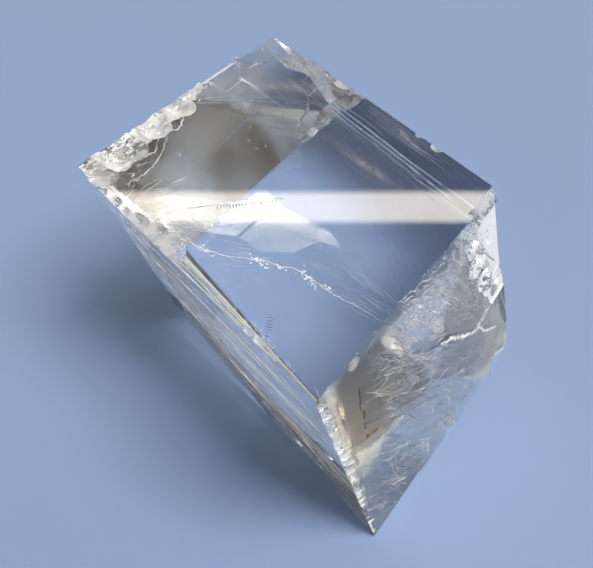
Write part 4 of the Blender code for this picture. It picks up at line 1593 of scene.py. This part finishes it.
# %% The rust speck
# Two ends in (p, r) on the front face and the half width.
RUST_STREAKS = (
    ((6.6, 19.0), (6.9, 19.7), 0.42),
    ((6.8, 19.3), (9.4, 20.6), 0.2),
    ((8.7, 20.5), (9.8, 20.5), 0.26),
)
FILM_STREAKS = (
    ((8.3, 7.0), (7.7, 9.8), 0.16),
    ((7.7, 9.6), (7.1, 11.6), 0.24),
    ((7.7, 12.6), (7.3, 14.4), 0.28),
    ((7.0, 15.6), (6.7, 17.2), 0.14),
)
SPECK_MIDDLE = (7.8, 14.0)
SPECK_THICKNESS = 0.09
SPECK_WAVES_PER_MM = 3.0
SPECK_WAVE = 0.12


def make_rust_speck():
    speck = bmesh.new()
    out = outward_normal("front")
    for start, end, half_width in RUST_STREAKS + FILM_STREAKS:
        first = LATTICE @ face_point("front", *start, 0)
        last = LATTICE @ face_point("front", *end, 0)
        way = (last - first).normalized()
        half_length = (last - first).length / 2 + half_width * MM
        ball = bmesh.ops.create_icosphere(speck, subdivisions=3, radius=1)
        if (start, end, half_width) in FILM_STREAKS:
            for face in {face for vert in ball["verts"] for face in vert.link_faces}:
                face.material_index = 1
        turn = Matrix((way, out.cross(way), out)).transposed().to_4x4()
        size = Matrix.Diagonal((half_length, half_width * MM, SPECK_THICKNESS * MM, 1))
        middle = Matrix.Translation((first + last) / 2)
        bmesh.ops.transform(speck, matrix=middle @ turn @ size, verts=ball["verts"])
    hub = LATTICE @ face_point("front", *SPECK_MIDDLE, 0)
    for vert in speck.verts:
        push = noise.noise(vert.co / MM * SPECK_WAVES_PER_MM) * SPECK_WAVE
        vert.co += (vert.co - hub).normalized() * push * MM
    mesh = bpy.data.meshes.new("rust_speck")
    speck.to_mesh(mesh)
    speck.free()
    mesh.materials.append(rust)
    mesh.materials.append(dark_film)
    mesh.shade_smooth()
    piece = bpy.data.objects.new("rust_speck", mesh)
    scene.collection.objects.link(piece)
    return piece


rust_speck = make_rust_speck()
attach(rust_speck, "root")
print("rust_speck:", len(rust_speck.data.polygons), "faces")

# %% [markdown]
# ## The floor
#
# A clear stone shows whatever it lies on, so the floor is a sheet of plain pale blue paper. It
# lies a tenth of a millimetre below the base face, so that the two don't fight for one place.

# %% The floor
FLOOR_SIZE = 3.0
FLOOR_GAP = 0.0001
FLOOR_COLOUR = (0.25, 0.35, 0.585, 1.0)
FLOOR_ROUGHNESS = 0.7

floor_shape = bmesh.new()
bmesh.ops.create_grid(floor_shape, x_segments=1, y_segments=1, size=FLOOR_SIZE / 2)
floor_mesh = bpy.data.meshes.new("floor")
floor_shape.to_mesh(floor_mesh)
floor_shape.free()
floor = bpy.data.objects.new("floor", floor_mesh)
scene.collection.objects.link(floor)
floor.location.z = -FLOOR_GAP
paper = bpy.data.materials.new("floor_paper")
paper.use_nodes = True
shader_of(paper).inputs["Base Color"].default_value = FLOOR_COLOUR
shader_of(paper).inputs["Roughness"].default_value = FLOOR_ROUGHNESS
floor_mesh.materials.append(paper)
print("floor:", floor.name)

# %% [markdown]
# ## The studio
#
# Glass-like stone is lit by what it mirrors, so the lights are painted on the sky as soft-edged
# windows, which the stone can reflect and bend without noise. A dim warm room, darker on the far
# side, gives the clean faces their grey. A wide soft window high on the right is the key light, a
# low one fills, and a dim golden one glows through the stone's front. A long thin one lies just
# where the top face mirrors it as the white band.

# %% Helpers for the studio
studio = bpy.data.worlds.new("studio")
scene.world = studio
studio.use_nodes = True


def sky_way(azimuth, elevation):
    """The direction of a place in the sky, from its azimuth and elevation in degrees."""
    around, up = math.radians(azimuth), math.radians(elevation)
    return Vector((math.cos(around) * math.cos(up), math.sin(around) * math.cos(up), math.sin(up)))


def dot_with(way, vector):
    product = add_node(studio, "ShaderNodeVectorMath", -6, 0, operation="DOT_PRODUCT")
    join(studio, way, product.inputs[0])
    product.inputs[1].default_value = vector
    return product.outputs["Value"]


def arithmetic(operation, first, second):
    result = add_node(studio, "ShaderNodeMath", -4, 0, operation=operation)
    for socket, value in zip(result.inputs, (first, second)):
        if isinstance(value, (int, float)):
            socket.default_value = value
        else:
            join(studio, value, socket)
    return result.outputs["Value"]


def inside(distance, half, feather):
    """One within half of the middle and nothing beyond, with a soft edge."""
    away = arithmetic("ABSOLUTE", distance, 0)
    edge = add_node(studio, "ShaderNodeMapRange", -3, 0, interpolation_type="SMOOTHSTEP")
    edge.inputs["From Min"].default_value = half + feather
    edge.inputs["From Max"].default_value = half - feather
    join(studio, away, edge.inputs["Value"])
    return edge.outputs["Result"]


every_way = add_node(studio, "ShaderNodeTexCoord", -8, 0).outputs["Generated"]
NEARLY_SIDEWAYS = 0.01


def softbox(middle, across, half_width, half_height, feather, strength):
    """Light from a soft-edged window in the sky. Its half sizes and edge are tangents."""
    across = (across - middle * across.dot(middle)).normalized()
    upward = across.cross(middle)
    ahead = dot_with(every_way, middle)
    depth = arithmetic("MAXIMUM", ahead, NEARLY_SIDEWAYS)
    x = arithmetic("DIVIDE", dot_with(every_way, across), depth)
    y = arithmetic("DIVIDE", dot_with(every_way, upward), depth)
    window = arithmetic("MULTIPLY", inside(x, half_width, feather), inside(y, half_height, feather))
    window = arithmetic("MULTIPLY", window, arithmetic("GREATER_THAN", ahead, 0.0))
    return arithmetic("MULTIPLY", window, strength)


def window_at(place, half, feather, strength):
    """A softbox whose sides are level and upright, from its azimuth and elevation."""
    return softbox(sky_way(*place), sky_way(place[0] - 90, 0), *half, feather, strength)


print("sky nodes so far:", len(studio.node_tree.nodes))

# %% The studio
WALL_NEAR = (0.085, 0.066, 0.04, 1.0)
WALL_FAR = (0.05, 0.048, 0.044, 1.0)
WALL_WAY = sky_way(130, 30)
KEY_PLACE = (-82, 66)
KEY_HALF = (0.24, 0.28)
KEY_STRENGTH = 12.5
WINDOW_FEATHER = 0.06
FILL_PLACE = (-33, 28)
FILL_HALF = (0.42, 0.16)
FILL_STRENGTH = 1.4
GLOW_PLACE = (-20, 60)
GLOW_HALF = (0.2, 0.12)
GLOW_FEATHER = 0.12
GLOW_STRENGTH = 0.55
GLOW_COLOUR = (1.0, 0.85, 0.6, 1.0)
DAYLIGHT = (1.0, 0.98, 0.94, 1.0)
STRIP_ENDS = Vector((0.4779, 0.5461, 0.688)), Vector((0.7456, 0.1694, 0.6445))
STRIP_HALF = (0.75, 0.0185)
STRIP_FEATHER = 0.006
STRIP_STRENGTH = 8.2
STRIP_COLOUR = (1.0, 0.92, 0.78, 1.0)


def add_light(row, so_far, window, colour):
    """Adds a coloured window's light to the colour of the sky so far."""
    mixed = add_node(studio, "ShaderNodeMix", -1, row, data_type="RGBA", blend_type="ADD")
    mixed.clamp_factor = False
    join(studio, window, mixed.inputs["Factor"])
    join(studio, so_far, mixed.inputs[6])
    mixed.inputs[7].default_value = colour
    return mixed.outputs[2]


room = add_node(studio, "ShaderNodeValToRGB", -2, 2)
room.color_ramp.elements[0].color = WALL_FAR
room.color_ramp.elements[1].color = WALL_NEAR
join(studio, dot_with(every_way, WALL_WAY), room.inputs["Fac"])
key = window_at(KEY_PLACE, KEY_HALF, WINDOW_FEATHER, KEY_STRENGTH)
fill = window_at(FILL_PLACE, FILL_HALF, WINDOW_FEATHER, FILL_STRENGTH)
glow = window_at(GLOW_PLACE, GLOW_HALF, GLOW_FEATHER, GLOW_STRENGTH)
strip_start, strip_end = STRIP_ENDS
strip_middle = (strip_start + strip_end).normalized()
strip_way = strip_end - strip_start
strip = softbox(strip_middle, strip_way, *STRIP_HALF, STRIP_FEATHER, STRIP_STRENGTH)
sky = add_light(3, room.outputs["Color"], key, DAYLIGHT)
sky = add_light(4, sky, fill, DAYLIGHT)
sky = add_light(5, sky, glow, GLOW_COLOUR)
sky = add_light(6, sky, strip, STRIP_COLOUR)
join(studio, sky, studio.node_tree.nodes["Background"].inputs["Color"])
scene.view_settings.view_transform = "Standard"
scene.cycles.blur_glossy = 0.0
scene.cycles.max_bounces = 20
scene.cycles.glossy_bounces = 12
scene.cycles.transmission_bounces = 16
print("lights: key, fill, glow and strip")
